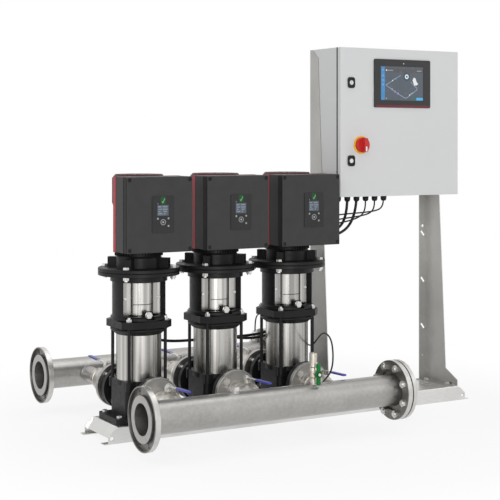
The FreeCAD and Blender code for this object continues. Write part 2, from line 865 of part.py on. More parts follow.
def cable_glands():
    """Hexagon, dome and lock nut, turned about the cable, which passes through it."""
    masters = []
    for kind, cable_radius in (("power", size.power_cable_radius), ("signal", size.signal_cable_radius)):
        body = new_body(f"{kind}_gland")
        collar = hexagon(new_sketch(body, "XY_Plane", -10), 0, 0, size.gland_across)
        pad(body, collar, 10)
        thread = circle(new_sketch(body, "XY_Plane"), 0, 0, size.gland_thread_radius)
        pad(body, thread, 12)
        nut = new_sketch(body, "XY_Plane", size.cabinet_wall)
        hexagon(nut, 0, 0, size.gland_across)
        pad(body, nut, 5)
        dome = new_sketch(body, "XZ_Plane")
        half = size.gland_across / 2
        outline(dome, [(0, -10), (half, -10), (half, -18), (half - 4, -24), (0, -24)])
        revolve(body, dome)
        hole = circle(new_sketch(body, "XY_Plane", 20), 0, 0, cable_radius + size.gland_grip)
        pocket(body, hole)
        masters.append(body)
    glands = []
    for gland in range(GLANDS):
        master = masters[0] if gland < PUMPS else masters[1]
        glands.append(copy_at(f"gland_{gland}", master, gland_x(gland), 0, size.cabinet_bottom))
    keep("cable_glands", *glands)


# Manifolds: a tube with a flat collar at each end, three branches and bosses on top
def manifold(label, offset_y, way, branch_end, bosses, side_bosses=()):
    """The tube lies along X at the body's origin; its branches and side bosses leave along Y."""
    body = new_body(label)
    left, right = -size.manifold_left, size.manifold_right
    collar, pipe = size.collar_radius, size.manifold_pipe_radius
    thick = size.collar_thickness
    profile = new_sketch(body, "XZ_Plane")
    outline(profile, [(left, 0), (left, collar), (left + thick, collar), (left + thick, pipe + 1.5),
                      (left + thick + 4, pipe), (right - thick - 4, pipe),
                      (right - thick, pipe + 1.5), (right - thick, collar), (right, collar), (right, 0)])
    revolve(body, profile, "H_Axis")
    branches = new_sketch(body, "XZ_Plane")
    for pump in range(PUMPS):
        circle(branches, pump_x(pump), 0, size.branch_radius)
    pad(body, branches, branch_end, back=way > 0)
    ring = new_sketch(body, "XZ_Plane", (pipe + 4) * -way)
    for pump in range(PUMPS):
        circle(ring, pump_x(pump), 0, size.branch_radius + 2.5)
    pad(body, ring, 5, back=way > 0)
    tops = new_sketch(body, "XY_Plane")
    for x, radius in bosses:
        circle(tops, x, 0, radius)
    pad(body, tops, size.boss_top)
    if side_bosses:
        sides = new_sketch(body, "XZ_Plane")
        for x in side_bosses:
            circle(sides, x, 0, size.boss_radius)
        pad(body, sides, size.boss_top, back=way > 0)
    bore = circle(new_sketch(body, "YZ_Plane"), 0, 0, manifold_bore)
    pocket(body, bore, both=True)
    inner = new_sketch(body, "XZ_Plane")
    for pump in range(PUMPS):
        circle(inner, pump_x(pump), 0, size.branch_radius - size.branch_wall)
    for x in side_bosses:
        circle(inner, x, 0, size.boss_radius - 6)
    pocket(body, inner, branch_end + 1, back=way < 0)
    taps = new_sketch(body, "XY_Plane")
    for x, radius in bosses:
        circle(taps, x, 0, radius - 6)
    pocket(body, taps, size.boss_top + 1, back=True)
    place(body, 0, offset_y, axis_height)
    keep(label, body)


def manifold_ends():
    """Loose flanges of pressed steel, with gaskets and blind flanges at the right ends."""
    flange = new_body("loose_flange")
    outer, hub = size.flange_radius, size.flange_hub_radius
    inner = size.manifold_pipe_radius + 1.8
    rim = outer - size.flange_rim_width
    deep = size.flange_thickness
    seat = size.collar_thickness
    web = size.flange_web
    groove = size.collar_radius + 0.5
    back = seat + web
    profile = new_sketch(flange, "XZ_Plane")
    outline(profile, [(0, rim + 1), (0, outer - 1), (1, outer), (deep - 1, outer), (deep, outer - 1),
                      (deep, hub + 2), (back, hub), (back, inner), (seat, inner), (seat, groove),
                      (deep - web, groove), (deep - web, rim - 1)])
    revolve(flange, profile, "H_Axis")
    hole = new_sketch(flange, "YZ_Plane")
    circle(hole, size.flange_bolt_circle / 2 * math.sin(math.pi / 8),
           size.flange_bolt_circle / 2 * math.cos(math.pi / 8), size.flange_hole_radius)
    first = pocket(flange, hole, deep, back=True)
    polar(flange, [first], "X_Axis", size.flange_bolts.value)
    turned_flange = doc.addObject("Part::Mirroring", "loose_flange_right")
    turned_flange.Source = flange
    turned_flange.Normal = X_AXIS
    loose, gaskets, blinds, bolts = [], [], [], []
    gasket = new_body("flange_gasket")
    face = circle(new_sketch(gasket, "YZ_Plane"), 0, 0, size.gasket_radius)
    circle(face, 0, 0, manifold_bore + 3)
    for angle in manifold_bolt_angles():
        circle(face, size.flange_bolt_circle / 2 * math.sin(angle),
               size.flange_bolt_circle / 2 * math.cos(angle), size.blind_hole_radius)
    pad(gasket, face, size.gasket_thickness)
    blind = new_body("blind_flange")
    disc = new_sketch(blind, "XZ_Plane")
    thick = size.blind_thickness
    outline(disc, [(0, 0), (0, outer - 1), (1, outer), (thick - 1.5, outer), (thick, outer - 1.5),
                   (thick, 0)])
    revolve(blind, disc, "H_Axis")
    hole = new_sketch(blind, "YZ_Plane")
    circle(hole, size.flange_bolt_circle / 2 * math.sin(math.pi / 8),
           size.flange_bolt_circle / 2 * math.cos(math.pi / 8), size.blind_hole_radius)
    first = pocket(blind, hole, thick, back=True)
    polar(blind, [first], "X_Axis", size.flange_bolts.value)
    grip = deep + size.gasket_thickness + thick
    bolt = through_bolt("manifold_bolt", grip)
    right = size.manifold_right
    for number, y in enumerate((-size.discharge_offset, size.suction_offset)):
        loose.append(copy_at(f"loose_left_{number}", flange, -size.manifold_left, y, axis_height))
        loose.append(copy_at(f"loose_right_{number}", turned_flange, right, y, axis_height))
        gaskets.append(copy_at(f"gasket_{number}", gasket, right, y, axis_height))
        blinds.append(copy_at(f"blind_{number}", blind, right + size.gasket_thickness, y, axis_height))
        for step, angle in enumerate(manifold_bolt_angles()):
            reach = size.flange_bolt_circle / 2
            bolts.append(copy_at(f"manifold_bolt_{number}_{step}", bolt,
                                 right + size.gasket_thickness + thick,
                                 y + reach * math.sin(angle), axis_height + reach * math.cos(angle)))
    keep("loose_flanges", *loose)
    keep("flange_gaskets", *gaskets)
    keep("blind_flanges", *blinds)
    return bolts


def manifold_bolt_angles():
    count = int(size.flange_bolts.value)
    return [math.pi * 2 / count * (step + 0.5) for step in range(count)]


def through_bolt(name, grip):
    """A hexagon bolt along X with its head at X 0 and more, and its nut at the other end of its grip."""
    head = prism(name + "_head", size.bolt_across, size.bolt_head, 0, 0, 0, Y_AXIS, 90)
    shank = cylinder(name + "_shank", size.bolt_radius, grip + 16, -grip - 16, 0, 0, Y_AXIS, 90)
    nut = prism(name + "_nut", size.bolt_across, 12, -grip - 12, 0, 0, Y_AXIS, 90)
    return fuse(name, head, shank, nut)


# Port flanges, check valves, ball valves and their levers
def port_pieces():
    flange = new_body("port_flange")
    face = size.mating_flange_thickness
    disc = new_sketch(flange, "XY_Plane")
    radius = size.port_flange_radius
    inner = size.valve_bore
    rim = radius - 3
    outline(disc, [(inner, 0), (radius - 1, 0), (radius, 1), (radius, face - 1), (radius - 1, face),
                   (rim, face), (rim - 1.5, face - 5), (44, face - 5), (41, face), (inner, face)])
    revolve(flange, disc)
    hole = new_sketch(flange, "XZ_Plane")
    reach = size.port_bolt_circle / 2 * math.sqrt(0.5)
    circle(hole, reach, reach, size.flange_hole_radius)
    first = pocket(flange, hole, face)
    polar(flange, [first], "Y_Axis", 4)
    wafer = new_body("check_valve")
    length = size.check_valve_length
    body_radius = size.check_valve_radius
    profile = new_sketch(wafer, "XY_Plane")
    outline(profile, [(inner, 0), (body_radius, 0), (body_radius, 6), (body_radius - 5, 9),
                      (body_radius - 5, length - 9), (body_radius, length - 6),
                      (body_radius, length), (inner, length)])
    revolve(wafer, profile)
    nipple = new_body("hexagon_nipple")
    nipple_start = port_face + length + face
    nipple_length = size.suction_ball_offset - size.valve_half_length - nipple_start
    barrel = hexagon(new_sketch(nipple, "XZ_Plane"), 0, 0, size.nipple_across)
    circle(barrel, 0, 0, inner)
    pad(nipple, barrel, nipple_length, back=True)
    valve = ball_valve_body()
    flanges, checks, valves = [], [], []
    bolts = []
    discharge_grip = size.port_flange_thickness + face - 5
    suction_grip = discharge_grip + length
    short_bolt = through_bolt("discharge_bolt", discharge_grip)
    long_bolt = through_bolt("suction_bolt", suction_grip)
    for pump in range(PUMPS):
        x = pump_x(pump)
        flanges.append(copy_at(f"discharge_flange_{pump}", flange, x, -port_face, axis_height, 180))
        flanges.append(copy_at(f"suction_flange_{pump}", flange, x, port_face + length, axis_height))
        flanges.append(copy_at(f"suction_nipple_{pump}", nipple, x, nipple_start, axis_height))
        checks.append(copy_at(f"check_{pump}", wafer, x, port_face, axis_height))
        valves.append(copy_at(f"discharge_ball_{pump}", valve, x, -size.discharge_ball_offset,
                              axis_height))
        valves.append(copy_at(f"suction_ball_{pump}", valve, x, size.suction_ball_offset,
                              axis_height, 180))
        for number, (dx, dz) in enumerate(four_corners(reach, reach)):
            bolts.append(copy_at(f"short_bolt_{pump}_{number}", short_bolt, x + dx,
                                 -port_face - face + 5, axis_height + dz, -90))
            bolts.append(copy_at(f"long_bolt_{pump}_{number}", long_bolt, x + dx,
                                 port_face + length + face - 5, axis_height + dz, 90))
    keep("port_flanges", *flanges)
    keep("check_valves", *checks)
    keep("isolating_valves", *valves)
    return bolts


def ball_valve_body():
    """A screwed ball valve along Y: its +Y end meets the port flange, its -Y end the branch."""
    body = new_body("ball_valve")
    half = size.valve_half_length
    bore = size.valve_bore
    shell = new_sketch(body, "XY_Plane")
    outline(shell, [(bore, -half), (38, -half), (38, -half + 22), (34, -half + 24), (46, -26),
                    (50, -16), (50, 16), (46, 26), (34, half - 24), (38, half - 22),
                    (38, half), (bore, half)])
    revolve(body, shell)
    neck = circle(new_sketch(body, "XY_Plane"), 0, 0, 13)
    boss_height = size.lever_height - 12
    pad(body, neck, boss_height)
    through = circle(new_sketch(body, "XZ_Plane"), 0, 0, bore)
    pocket(body, through, both=True)
    stem_hole = circle(new_sketch(body, "XY_Plane", boss_height), 0, 0, size.stem_radius + 0.1)
    pocket(body, stem_hole, 14)
    return body


def valve_levers():
    """A flat lever with a moulded grip on its outer part, on the valve's stem, along -Y from the stem."""
    body = new_body("valve_lever")
    low = size.lever_height - 12
    stem = circle(new_sketch(body, "XY_Plane", low - 13.7), 0, 0, size.stem_radius)
    pad(body, stem, 13.7 + 14)
    hub = hexagon(new_sketch(body, "XY_Plane", low + size.seat_gap), 0, 0, as_size(22))
    pad(body, hub, 8)
    side = new_sketch(body, "YZ_Plane")
    z = size.lever_height - 10
    tip = size.lever_length
    outline(side, [(9, z), (9, z + 3), (-14, z + 3), (-26, z + 7), (-tip + 4, z + 11),
                   (-tip + 4, z + 8), (-26, z + 4), (-14, z)])
    pad(body, side, size.lever_width - 4, both=True)
    grip = new_sketch(body, "YZ_Plane")
    start = size.lever_grip_start
    outline(grip, [(-start, z + 3.5), (-tip, z + 6), (-tip, z + 13), (-start, z + 10.5)])
    last = pad(body, grip, size.lever_width, both=True)
    rounded(body, last, 2.5, lambda edge, middle: edge.Length > 60
            and abs(abs(middle.x) - size.lever_width.value / 2) < 0.01)
    for pump in range(PUMPS):
        x = pump_x(pump)
        keep(f"discharge_lever_{pump + 1}",
             copy_at(f"front_lever_{pump}", body, x, -size.discharge_ball_offset, axis_height))
    for pump in range(PUMPS):
        x = pump_x(pump)
        keep(f"suction_lever_{pump + 1}",
             copy_at(f"rear_lever_{pump}", body, x, size.suction_ball_offset, axis_height, 180))


def tank_connection():
    """The small ball valve on the discharge manifold for the pressure tank, and its handle."""
    body = new_body("tank_valve")
    pipe = size.tank_pipe_radius
    low = axis_height + size.boss_top
    handle = size.tank_handle_z
    top = size.tank_top
    side = new_sketch(body, "XZ_Plane")
    outline(side, [(6, low), (pipe + 2, low), (pipe + 2, low + 12), (pipe - 1, low + 14),
                   (pipe + 3, handle - 12), (pipe + 3, handle + 12), (pipe - 1, handle + 20),
                   (pipe + 2, handle + 24), (pipe + 2, handle + 38), (pipe, handle + 40),
                   (pipe, top), (6, top)])
    revolve(body, side)
    nose = circle(new_sketch(body, "XZ_Plane"), 0, handle, 9)
    pad(body, nose, size.tank_handle_out - 6)
    clear = circle(new_sketch(body, "XY_Plane", top), 0, 0, 8)
    pocket(body, clear)
    socket = circle(new_sketch(body, "XZ_Plane", size.tank_handle_out - 6), 0, handle, 4.1)
    pocket(body, socket, 8)
    place(body, size.tank_x, -size.discharge_offset, 0)
    keep("tank_valve", body)
    grip = new_body("tank_valve_handle")
    out = size.tank_handle_out - 6 + size.seat_gap
    half = size.tank_handle_length / 2
    shape = new_sketch(grip, "XZ_Plane", out)
    wide = size.tank_handle_half
    outline(shape, [(-7, -half), (7, -half), (9, -half + 8), (wide, -9), (wide, 9), (9, half - 8),
                    (7, half), (-7, half), (-9, half - 8), (-wide, 9), (-wide, -9), (-9, -half + 8)])
    pad(grip, shape, 10)
    hub = circle(new_sketch(grip, "XZ_Plane", out), 0, 0, 11)
    pad(grip, hub, 12)
    screw = circle(new_sketch(grip, "XZ_Plane", out), 0, 0, 5.5)
    pad(grip, screw, 14.5)
    stem = circle(new_sketch(grip, "XZ_Plane", out), 0, 0, 4)
    pad(grip, stem, 7.5, back=True)
    place(grip, size.tank_x, -size.discharge_offset, handle)
    keep("tank_valve_handle", grip)


def sensors_and_plugs():
    """Pressure sensors on both manifolds, screwed plugs, and the vent plug of each pump."""
    body = new_body("pressure_sensor")
    nut = hexagon(new_sketch(body, "XY_Plane"), 0, 0, as_size(27))
    pad(body, nut, 12)
    side = new_sketch(body, "XZ_Plane")
    outline(side, [(0, 12), (12, 12), (15, 15), (15, 33), (11, 38), (11, 43), (0, 43)])
    revolve(body, side)
    low = axis_height + size.boss_top
    angled = new_body("angled_sensor")
    nut = hexagon(new_sketch(angled, "XY_Plane"), 0, 0, as_size(27))
    pad(angled, nut, 10)
    head = circle(new_sketch(angled, "XY_Plane", 10), 0, 0, 12)
    pad(angled, head, 17)
    tail = circle(new_sketch(angled, "XZ_Plane"), 0, 19, 6.5)
    pad(angled, tail, size.sensor_tail, back=True)
    side_sensor = doc.addObject("App::Link", "discharge_sensor")
    side_sensor.LinkedObject = angled
    turned(side_sensor, X_AXIS, -90)
    place(side_sensor, size.discharge_sensor_x, size.boss_top - size.discharge_offset, axis_height)
    keep("pressure_sensors",
         copy_at("suction_sensor", body, size.sensor_x, size.suction_offset, low), side_sensor)
    plug = new_body("threaded_plug")
    cap = hexagon(new_sketch(plug, "XY_Plane"), 0, 0, as_size(32))
    pad(plug, cap, 14)
    screw = circle(new_sketch(plug, "XY_Plane"), 0, 0, size.boss_radius - 6.1)
    pad(plug, screw, size.boss_top - manifold_bore - 0.4, back=True)
    plugs = [copy_at("discharge_plug", plug, size.plug_x, -size.discharge_offset, low)]
    vent = fuse("vent_plug", prism("vent_head", as_size(22), 11, 0, 0, 0, X_AXIS, 90),
                cylinder("vent_boss", 13, 3, 0, 0, 0, X_AXIS, 90))
    for pump in range(PUMPS):
        plugs.append(copy_at(f"vent_{pump}", vent, pump_x(pump), -size.vent_face, size.head_top + 21))
    keep("threaded_plugs", *plugs)


# Pump: casing with its foot and ports, sleeve, head and stay bolts
def pump_base():
    body = new_body("pump_base")
    foot_z = size.base_height
    half_length, half_depth = size.foot_length / 2, size.foot_depth / 2
    sole = new_sketch(body, "XY_Plane", foot_z)
    rectangle(sole, -half_length, -half_depth, half_length, half_depth)
    last = pad(body, sole, size.foot_thickness)
    rounded(body, last, 14, upright)
    casing = new_sketch(body, "XY_Plane", foot_z)
    rectangle(casing, -size.casing_half_x, -size.casing_half_y, size.casing_half_x, size.casing_half_y)
    last = pad(body, casing, size.casing_top - foot_z)
    rounded(body, last, 16, lambda edge, middle: upright(edge, middle) and edge.Length > 100)
    crown = circle(new_sketch(body, "XY_Plane", size.casing_top - 18), 0, 0, size.sleeve_radius + 4)
    pad(body, crown, 18)
    lugs = new_sketch(body, "XY_Plane", size.casing_top - 34)
    for x, y in four_corners(size.stay_bolt_offset, size.stay_bolt_offset):
        circle(lugs, x, y, size.stay_bolt_radius + 7)
    pad(body, lugs, 34)
    neck = circle(new_sketch(body, "XZ_Plane"), 0, axis_height, 42)
    pad(body, neck, size.port_span - size.port_flange_thickness, both=True)
    disc = circle(new_sketch(body, "XZ_Plane", port_face), 0, axis_height, size.port_flange_radius)
    front = pad(body, disc, size.port_flange_thickness, back=True)
    mirror(body, [front], "XZ_Plane")
    chamber = circle(new_sketch(body, "XY_Plane", size.casing_top), 0, 0, size.chamber_radius)
    pocket(body, chamber, size.casing_top - foot_z - 42)
    port = circle(new_sketch(body, "XZ_Plane"), 0, axis_height, size.valve_bore)
    pocket(body, port, both=True)
    threads = new_sketch(body, "XY_Plane", size.casing_top)
    for x, y in four_corners(size.stay_bolt_offset, size.stay_bolt_offset):
        circle(threads, x, y, size.stay_bolt_radius + 0.15)
    pocket(body, threads, 20)
    feet = new_sketch(body, "XY_Plane", foot_z + size.foot_thickness)
    for x, y in four_corners(size.foot_bolt_x, size.foot_bolt_y):
        circle(feet, x, y, size.foot_hole_radius)
    pocket(body, feet, size.foot_thickness)
    reach = size.port_bolt_circle / 2 * math.sqrt(0.5)
    holes = new_sketch(body, "XZ_Plane", port_face)
    for x, z in four_corners(reach, reach):
        circle(holes, x, axis_height + z, size.flange_hole_radius)
    front = pocket(body, holes, size.port_flange_thickness)
    mirror(body, [front], "XZ_Plane")
    for pump in range(PUMPS):
        keep(f"pump_base_{pump + 1}", copy_at(f"pump_base_at_{pump}", body, pump_x(pump)))


def pump_heads():
    body = new_body("pump_head")
    low, seat = size.sleeve_top, size.head_plate_bottom
    sleeve = size.sleeve_radius
    skirt = new_sketch(body, "XZ_Plane")
    outline(skirt, [(0, low + 14), (sleeve - 8, low + 14), (sleeve - 8, low), (sleeve + 1, low),
                    (size.head_skirt_radius, low + 17), (size.head_skirt_radius, seat - 5),
                    (size.head_skirt_radius - 6, seat), (0, seat)])
    revolve(body, skirt)
    half, near = size.head_plate_half, size.head_plate_half - size.head_plate_chamfer
    plate = new_sketch(body, "XY_Plane", seat)
    outline(plate, [(half, -near), (half, near), (near, half), (-near, half),
                    (-half, near), (-half, -near), (-near, -half), (near, -half)])
    pad(body, plate, size.head_top - seat)
    bolts = new_sketch(body, "XY_Plane")
    for x, y in four_corners(size.stay_bolt_offset, size.stay_bolt_offset):
        circle(bolts, x, y, size.stay_bolt_radius + 0.3)
    pocket(body, bolts, both=True)
    shaft = circle(new_sketch(body, "XY_Plane"), 0, 0, size.shaft_radius + size.shaft_clearance)
    pocket(body, shaft, both=True)
    keep("pump_heads", *[copy_at(f"head_{pump}", body, pump_x(pump)) for pump in range(PUMPS)])


def sleeves_and_stay_bolts():
    sleeve = new_body("outer_sleeve")
    wall = circle(new_sketch(sleeve, "XY_Plane", size.casing_top), 0, 0, size.sleeve_radius)
    circle(wall, 0, 0, size.sleeve_radius - size.sleeve_wall)
    pad(sleeve, wall, size.sleeve_top - size.casing_top)
    keep("outer_sleeves", *[copy_at(f"sleeve_{pump}", sleeve, pump_x(pump)) for pump in range(PUMPS)])
    low = size.casing_top - 20
    rod = cylinder("stay_rod", size.stay_bolt_radius, size.head_top + 15 - low, 0, 0, low)
    nut = prism("stay_nut", 19, 10, 0, 0, size.head_top)
    bolt = fuse("stay_bolt", rod, nut)
    bolts = []
    for pump in range(PUMPS):
        for number, (x, y) in enumerate(four_corners(size.stay_bolt_offset, size.stay_bolt_offset)):
            bolts.append(copy_at(f"stay_bolt_{pump}_{number}", bolt, pump_x(pump) + x, y))
    keep("stay_bolts", *bolts)


def foot_bolts():
    """Hexagon bolts through the pump feet and the posts' feet, each with its nut below the plate."""
    bolts = []
    for name, thick in (("pump_foot_bolt", size.foot_thickness), ("post_foot_bolt", size.post_sheet)):
        seat = size.base_height + thick
        under = size.base_height - size.base_sheet
        head = prism(name + "_head", 18, 8, 0, 0, seat)
        shank = cylinder(name + "_shank", 6, seat - under + 12, 0, 0, under - 12)
        nut = prism(name + "_nut", 18, 10, 0, 0, under - 10)
        bolts.append(fuse(name, head, shank, nut))
    placed = []
    for pump in range(PUMPS):
        for number, (x, y) in enumerate(four_corners(size.foot_bolt_x, size.foot_bolt_y)):
            placed.append(copy_at(f"foot_bolt_{pump}_{number}", bolts[0], pump_x(pump) + x, y))
    for number, (x, y) in enumerate(post_bolt_places()):
        placed.append(copy_at(f"post_bolt_{number}", bolts[1], x, y))
    reach = size.post_sheet + size.cabinet_wall
    head = prism("cabinet_bolt_head", 13, 6, 0, size.post_sheet, 0, X_AXIS, -90)
    shank = cylinder("cabinet_bolt_shank", 4, reach + 10, 0, -size.cabinet_wall - 10, 0, X_AXIS, -90)
    nut = prism("cabinet_bolt_nut", 13, 6, 0, -size.cabinet_wall - 6, 0, X_AXIS, -90)
    bolt = fuse("cabinet_bolt", head, shank, nut)
    for number, (x, z) in enumerate(cabinet_bolt_places()):
        placed.append(copy_at(f"cabinet_bolt_{number}", bolt, x, size.cabinet_rear, z))
    keep("foot_bolts", *placed)


# Motor stool: an open casting between the pump head and the motor, with two coupling guards
def motor_stool():
    body = new_body("motor_stool")
    low, high = size.head_top, size.stool_top
    foot, wall = size.stool_foot_radius, size.stool_radius
    inner = wall - size.stool_web
    window_low, window_high = size.window_bottom, size.window_top
    plate = high - size.stool_flange
    outer = new_sketch(body, "XZ_Plane")
    drum, rim = size.stool_drum_radius, size.stool_flange_radius
    outline(outer, [(0, low), (foot - 2, low), (foot, low + 3), (foot, window_low - 5), (wall, window_low),
                    (wall, window_high), (drum, window_high + 2), (drum, plate), (rim - 1, plate),
                    (rim, plate + 1), (rim, high - 2), (rim - 2, high), (0, high)])
    revolve(body, outer)
    hollow = new_sketch(body, "XZ_Plane")
    outline(hollow, [(0, low - 1), (inner - 9, low - 1), (inner - 9, window_low - 3), (inner, window_low),
                     (inner, plate - 3), (size.stool_bore, plate - 3), (size.stool_bore, high + 1),
                     (0, high + 1)])
    revolve(body, hollow, cut=True)
    ledge = size.guard_ledge
    edge = inner - 4
    window = new_sketch(body, "XY_Plane", window_low)
    outline(window, [(edge, -ledge), (edge + 12, -ledge - 31), (edge + 12, -foot - 6),
                     (-edge - 12, -foot - 6), (-edge - 12, -ledge - 31), (-edge, -ledge)])
    front = pocket(body, window, window_high - window_low, back=True)
    mirror(body, [front], "XZ_Plane")
    posts = new_sketch(body, "XY_Plane", window_low - 4)
    for way in (1, -1):
        rectangle(posts, (edge - 13) * way, -ledge, (edge + 8) * way, ledge)
    pad(body, posts, window_high - window_low + 8)
    boss = new_sketch(body, "XY_Plane", window_low - 8)
    rectangle(boss, -15, -size.vent_face, 15, -size.vent_face + 16)
    pad(body, boss, 26)
    gate = rectangle(new_sketch(body, "XY_Plane", window_low), -17, -foot - 2, 17, -size.vent_face)
    pocket(body, gate, 11)
    notches = new_sketch(body, "XY_Plane", low)
    for x, y in four_corners(size.stay_bolt_offset, size.stay_bolt_offset):
        circle(notches, x, y, 13)
    pocket(body, notches, window_low - low, back=True)
    holes = new_sketch(body, "XY_Plane", high)
    reach = size.motor_bolt_circle / 2 * math.sqrt(0.5)
    for x, y in four_corners(reach, reach):
        circle(holes, x, y, size.motor_bolt_radius + 0.5)
    pocket(body, holes, size.stool_flange)
    for pump in range(PUMPS):
        keep(f"motor_stool_{pump + 1}", copy_at(f"stool_at_{pump}", body, pump_x(pump)))


def coupling_guards():
    """A half-round sheet with a flat flange each side, which lies on the stool's ledge."""
    body = new_body("coupling_guard")
    low = size.window_bottom + 1
    tall = size.window_top - size.window_bottom - 2
    ledge, thin = size.guard_ledge, size.guard_sheet
    outer = size.guard_radius
    ring = circle(new_sketch(body, "XY_Plane", low), 0, 0, outer)
    circle(ring, 0, 0, outer - thin)
    pad(body, ring, tall)
    behind = rectangle(new_sketch(body, "XY_Plane", low), -outer - 5, -ledge, outer + 5, outer + 5)
    pocket(body, behind, tall, back=True)
    sides = new_sketch(body, "XY_Plane", low)
    for way in (1, -1):
        rectangle(sides, (outer - 8) * way, -ledge - thin, (size.stool_radius - size.stool_web - 5) * way,
                  -ledge)
    pad(body, sides, tall)
    guards = []
    for pump in range(PUMPS):
        guards.append(copy_at(f"front_guard_{pump}", body, pump_x(pump)))
        guards.append(copy_at(f"rear_guard_{pump}", body, pump_x(pump), 0, 0, 180))
    keep("coupling_guards", *guards)


# Motor, its fan cover and its bolts
def motor():
    body = new_body("motor")
    low = size.stool_top
    face = low + size.motor_flange
    bracket, core = size.motor_bracket_radius, size.stator_radius
    top = size.stator_top
    cover = size.fan_cover_radius - size.fan_cover_wall - size.seat_gap
    shell = new_sketch(body, "XZ_Plane")
    outline(shell, [(0, low - 9), (size.stool_bore - 0.1, low - 9), (size.stool_bore - 0.1, low),
                    (size.stool_flange_radius - 2, low), (size.stool_flange_radius, low + 2),
                    (size.stool_flange_radius, face - 2), (size.stool_flange_radius - 2, face),
                    (bracket, face), (bracket, size.motor_bracket_top), (core, size.stator_bottom),
                    (core, top - 6), (cover, top - 6), (cover, top + 6),
                    (cover - 5, top + 8), (0, top + 8)])
    revolve(body, shell)
    rib = new_sketch(body, "XY_Plane", size.stator_bottom)
    rib_half = size.stator_rib_width / 2
    rectangle(rib, core - 1, -rib_half, core + size.stator_rib, rib_half)
    first = pad(body, rib, top - size.stator_bottom - 5)
    polar(body, [first], "Z_Axis", size.stator_ribs.value)
    lug = new_sketch(body, "XY_Plane", face - 1)
    near, far = bracket - 4, size.motor_lug_reach
    lug_half = size.motor_lug_width / 2
    corner = math.sqrt(0.5)
    outline(lug, [((r - t) * corner, (r + t) * corner) for r, t in
                  ((near, lug_half), (near, -lug_half), (far, -lug_half), (far, lug_half))])
    first = pad(body, lug, size.motor_bracket_top - face + 1)
    polar(body, [first], "Z_Axis", 4)
    hollow = new_sketch(body, "XZ_Plane")
    shaft = size.shaft_radius + size.shaft_clearance
    outline(hollow, [(0, low - 10), (shaft, low - 10), (shaft, face + 12), (size.stator_bore, face + 12),
                     (size.stator_bore, top - 14), (shaft, top - 14), (shaft, top + 9), (0, top + 9)])
    revolve(body, hollow, cut=True)
    holes = new_sketch(body, "XY_Plane", face)
    reach = size.motor_bolt_circle / 2 * math.sqrt(0.5)
    for x, y in four_corners(reach, reach):
        circle(holes, x, y, size.motor_bolt_radius + 0.5)
    pocket(body, holes, size.motor_flange)
    for pump in range(PUMPS):
        keep(f"motor_{pump + 1}", copy_at(f"motor_at_{pump}", body, pump_x(pump)))


def fan_covers():
    body = new_body("fan_cover")
    outer, wall = size.fan_cover_radius, size.fan_cover_wall
    low, top = size.stator_top, size.fan_cover_top
    skin = new_sketch(body, "XZ_Plane")
    outline(skin, [(outer - wall, low), (outer, low), (outer, top - 14), (outer - 12, top), (0, top),
                   (0, top - wall), (outer - 13, top - wall), (outer - wall, top - 15)])
    revolve(body, skin)
    slot = rectangle(new_sketch(body, "XY_Plane", top), 28, -4, 74, 4)
    first = pocket(body, slot, wall * 2)
    polar(body, [first], "Z_Axis", 12)
    keep("fan_covers", *[copy_at(f"fan_cover_{pump}", body, pump_x(pump)) for pump in range(PUMPS)])


def motor_bolts():
    face = size.stool_top + size.motor_flange
    under = size.stool_top - size.stool_flange
    head = prism("motor_bolt_head", 21, 9, 0, 0, face)
    shank = cylinder("motor_bolt_shank", size.motor_bolt_radius, face - under + 16, 0, 0, under - 16)
    nut = prism("motor_bolt_nut", 21, 11, 0, 0, under - 11)
    bolt = fuse("motor_bolt", head, shank, nut)
    ledge = size.guard_ledge + size.guard_sheet
    screw = new_body("guard_screw")
    screw_head = circle(new_sketch(screw, "XZ_Plane"), 0, 0, 5)
    pad(screw, screw_head, 4)
    screw_x = size.stool_radius - size.stool_web - 11
    screw_z = (size.window_bottom + size.window_top) / 2
    reach = size.motor_bolt_circle / 2 * math.sqrt(0.5)
    bolts = []
    for pump in range(PUMPS):
        for number, (x, y) in enumerate(four_corners(reach, reach)):
            bolts.append(copy_at(f"motor_bolt_{pump}_{number}", bolt, pump_x(pump) + x, y))
        for way in (1, -1):
            bolts.append(copy_at(f"guard_screw_{pump}_{way + 1}", screw, pump_x(pump) + screw_x * way,
                                 -ledge, screw_z))
    keep("motor_bolts", *bolts)


# Rotor: one shaft line with the impellers, the coupling, the motor's rotor and its fan
def rotor():
    shaft = size.shaft_radius
    low = size.base_height + 46
    top = size.stator_top + 40
    stages = 4
    pitch = (size.sleeve_top - size.casing_top) / (stages + 0.5)
    wheel = size.impeller_radius
    profile = [(0, low), (shaft, low)]
    for stage in range(stages):
        start = size.casing_top + pitch * (stage + 0.4)
        profile += [(shaft, start), (wheel * 0.5, start), (wheel, start + 5), (wheel, start + 11),
                    (shaft + 5, start + 18), (shaft, start + 18)]
    hub_low = size.window_bottom + 12
    hub_high = size.window_top - 18
    profile += [(shaft, hub_low), (size.coupling_radius, hub_low), (size.coupling_radius, hub_high),
                (shaft, hub_high)]
    core_low = size.stool_top + size.motor_flange + 24
    core_high = size.stator_top - 30
    profile += [(shaft, core_low), (size.stator_bore - 0.5, core_low), (size.stator_bore - 0.5, core_high),
                (shaft, core_high)]
    fan_low = size.stator_top + 14
    profile += [(shaft, fan_low), (24, fan_low), (24, top), (0, top)]
    body = new_body("rotor")
    outline(new_sketch(body, "XZ_Plane"), profile)
    revolve(body, body.Group[-1])
    blade = new_sketch(body, "XY_Plane", fan_low + 2)
    rectangle(blade, 20, -1.5, size.fan_radius, 1.5)
    first = pad(body, blade, 30)
    polar(body, [first], "Z_Axis", 7)
    for pump in range(PUMPS):
        keep(f"rotor_{pump + 1}", copy_at(f"rotor_at_{pump}", body, pump_x(pump)))


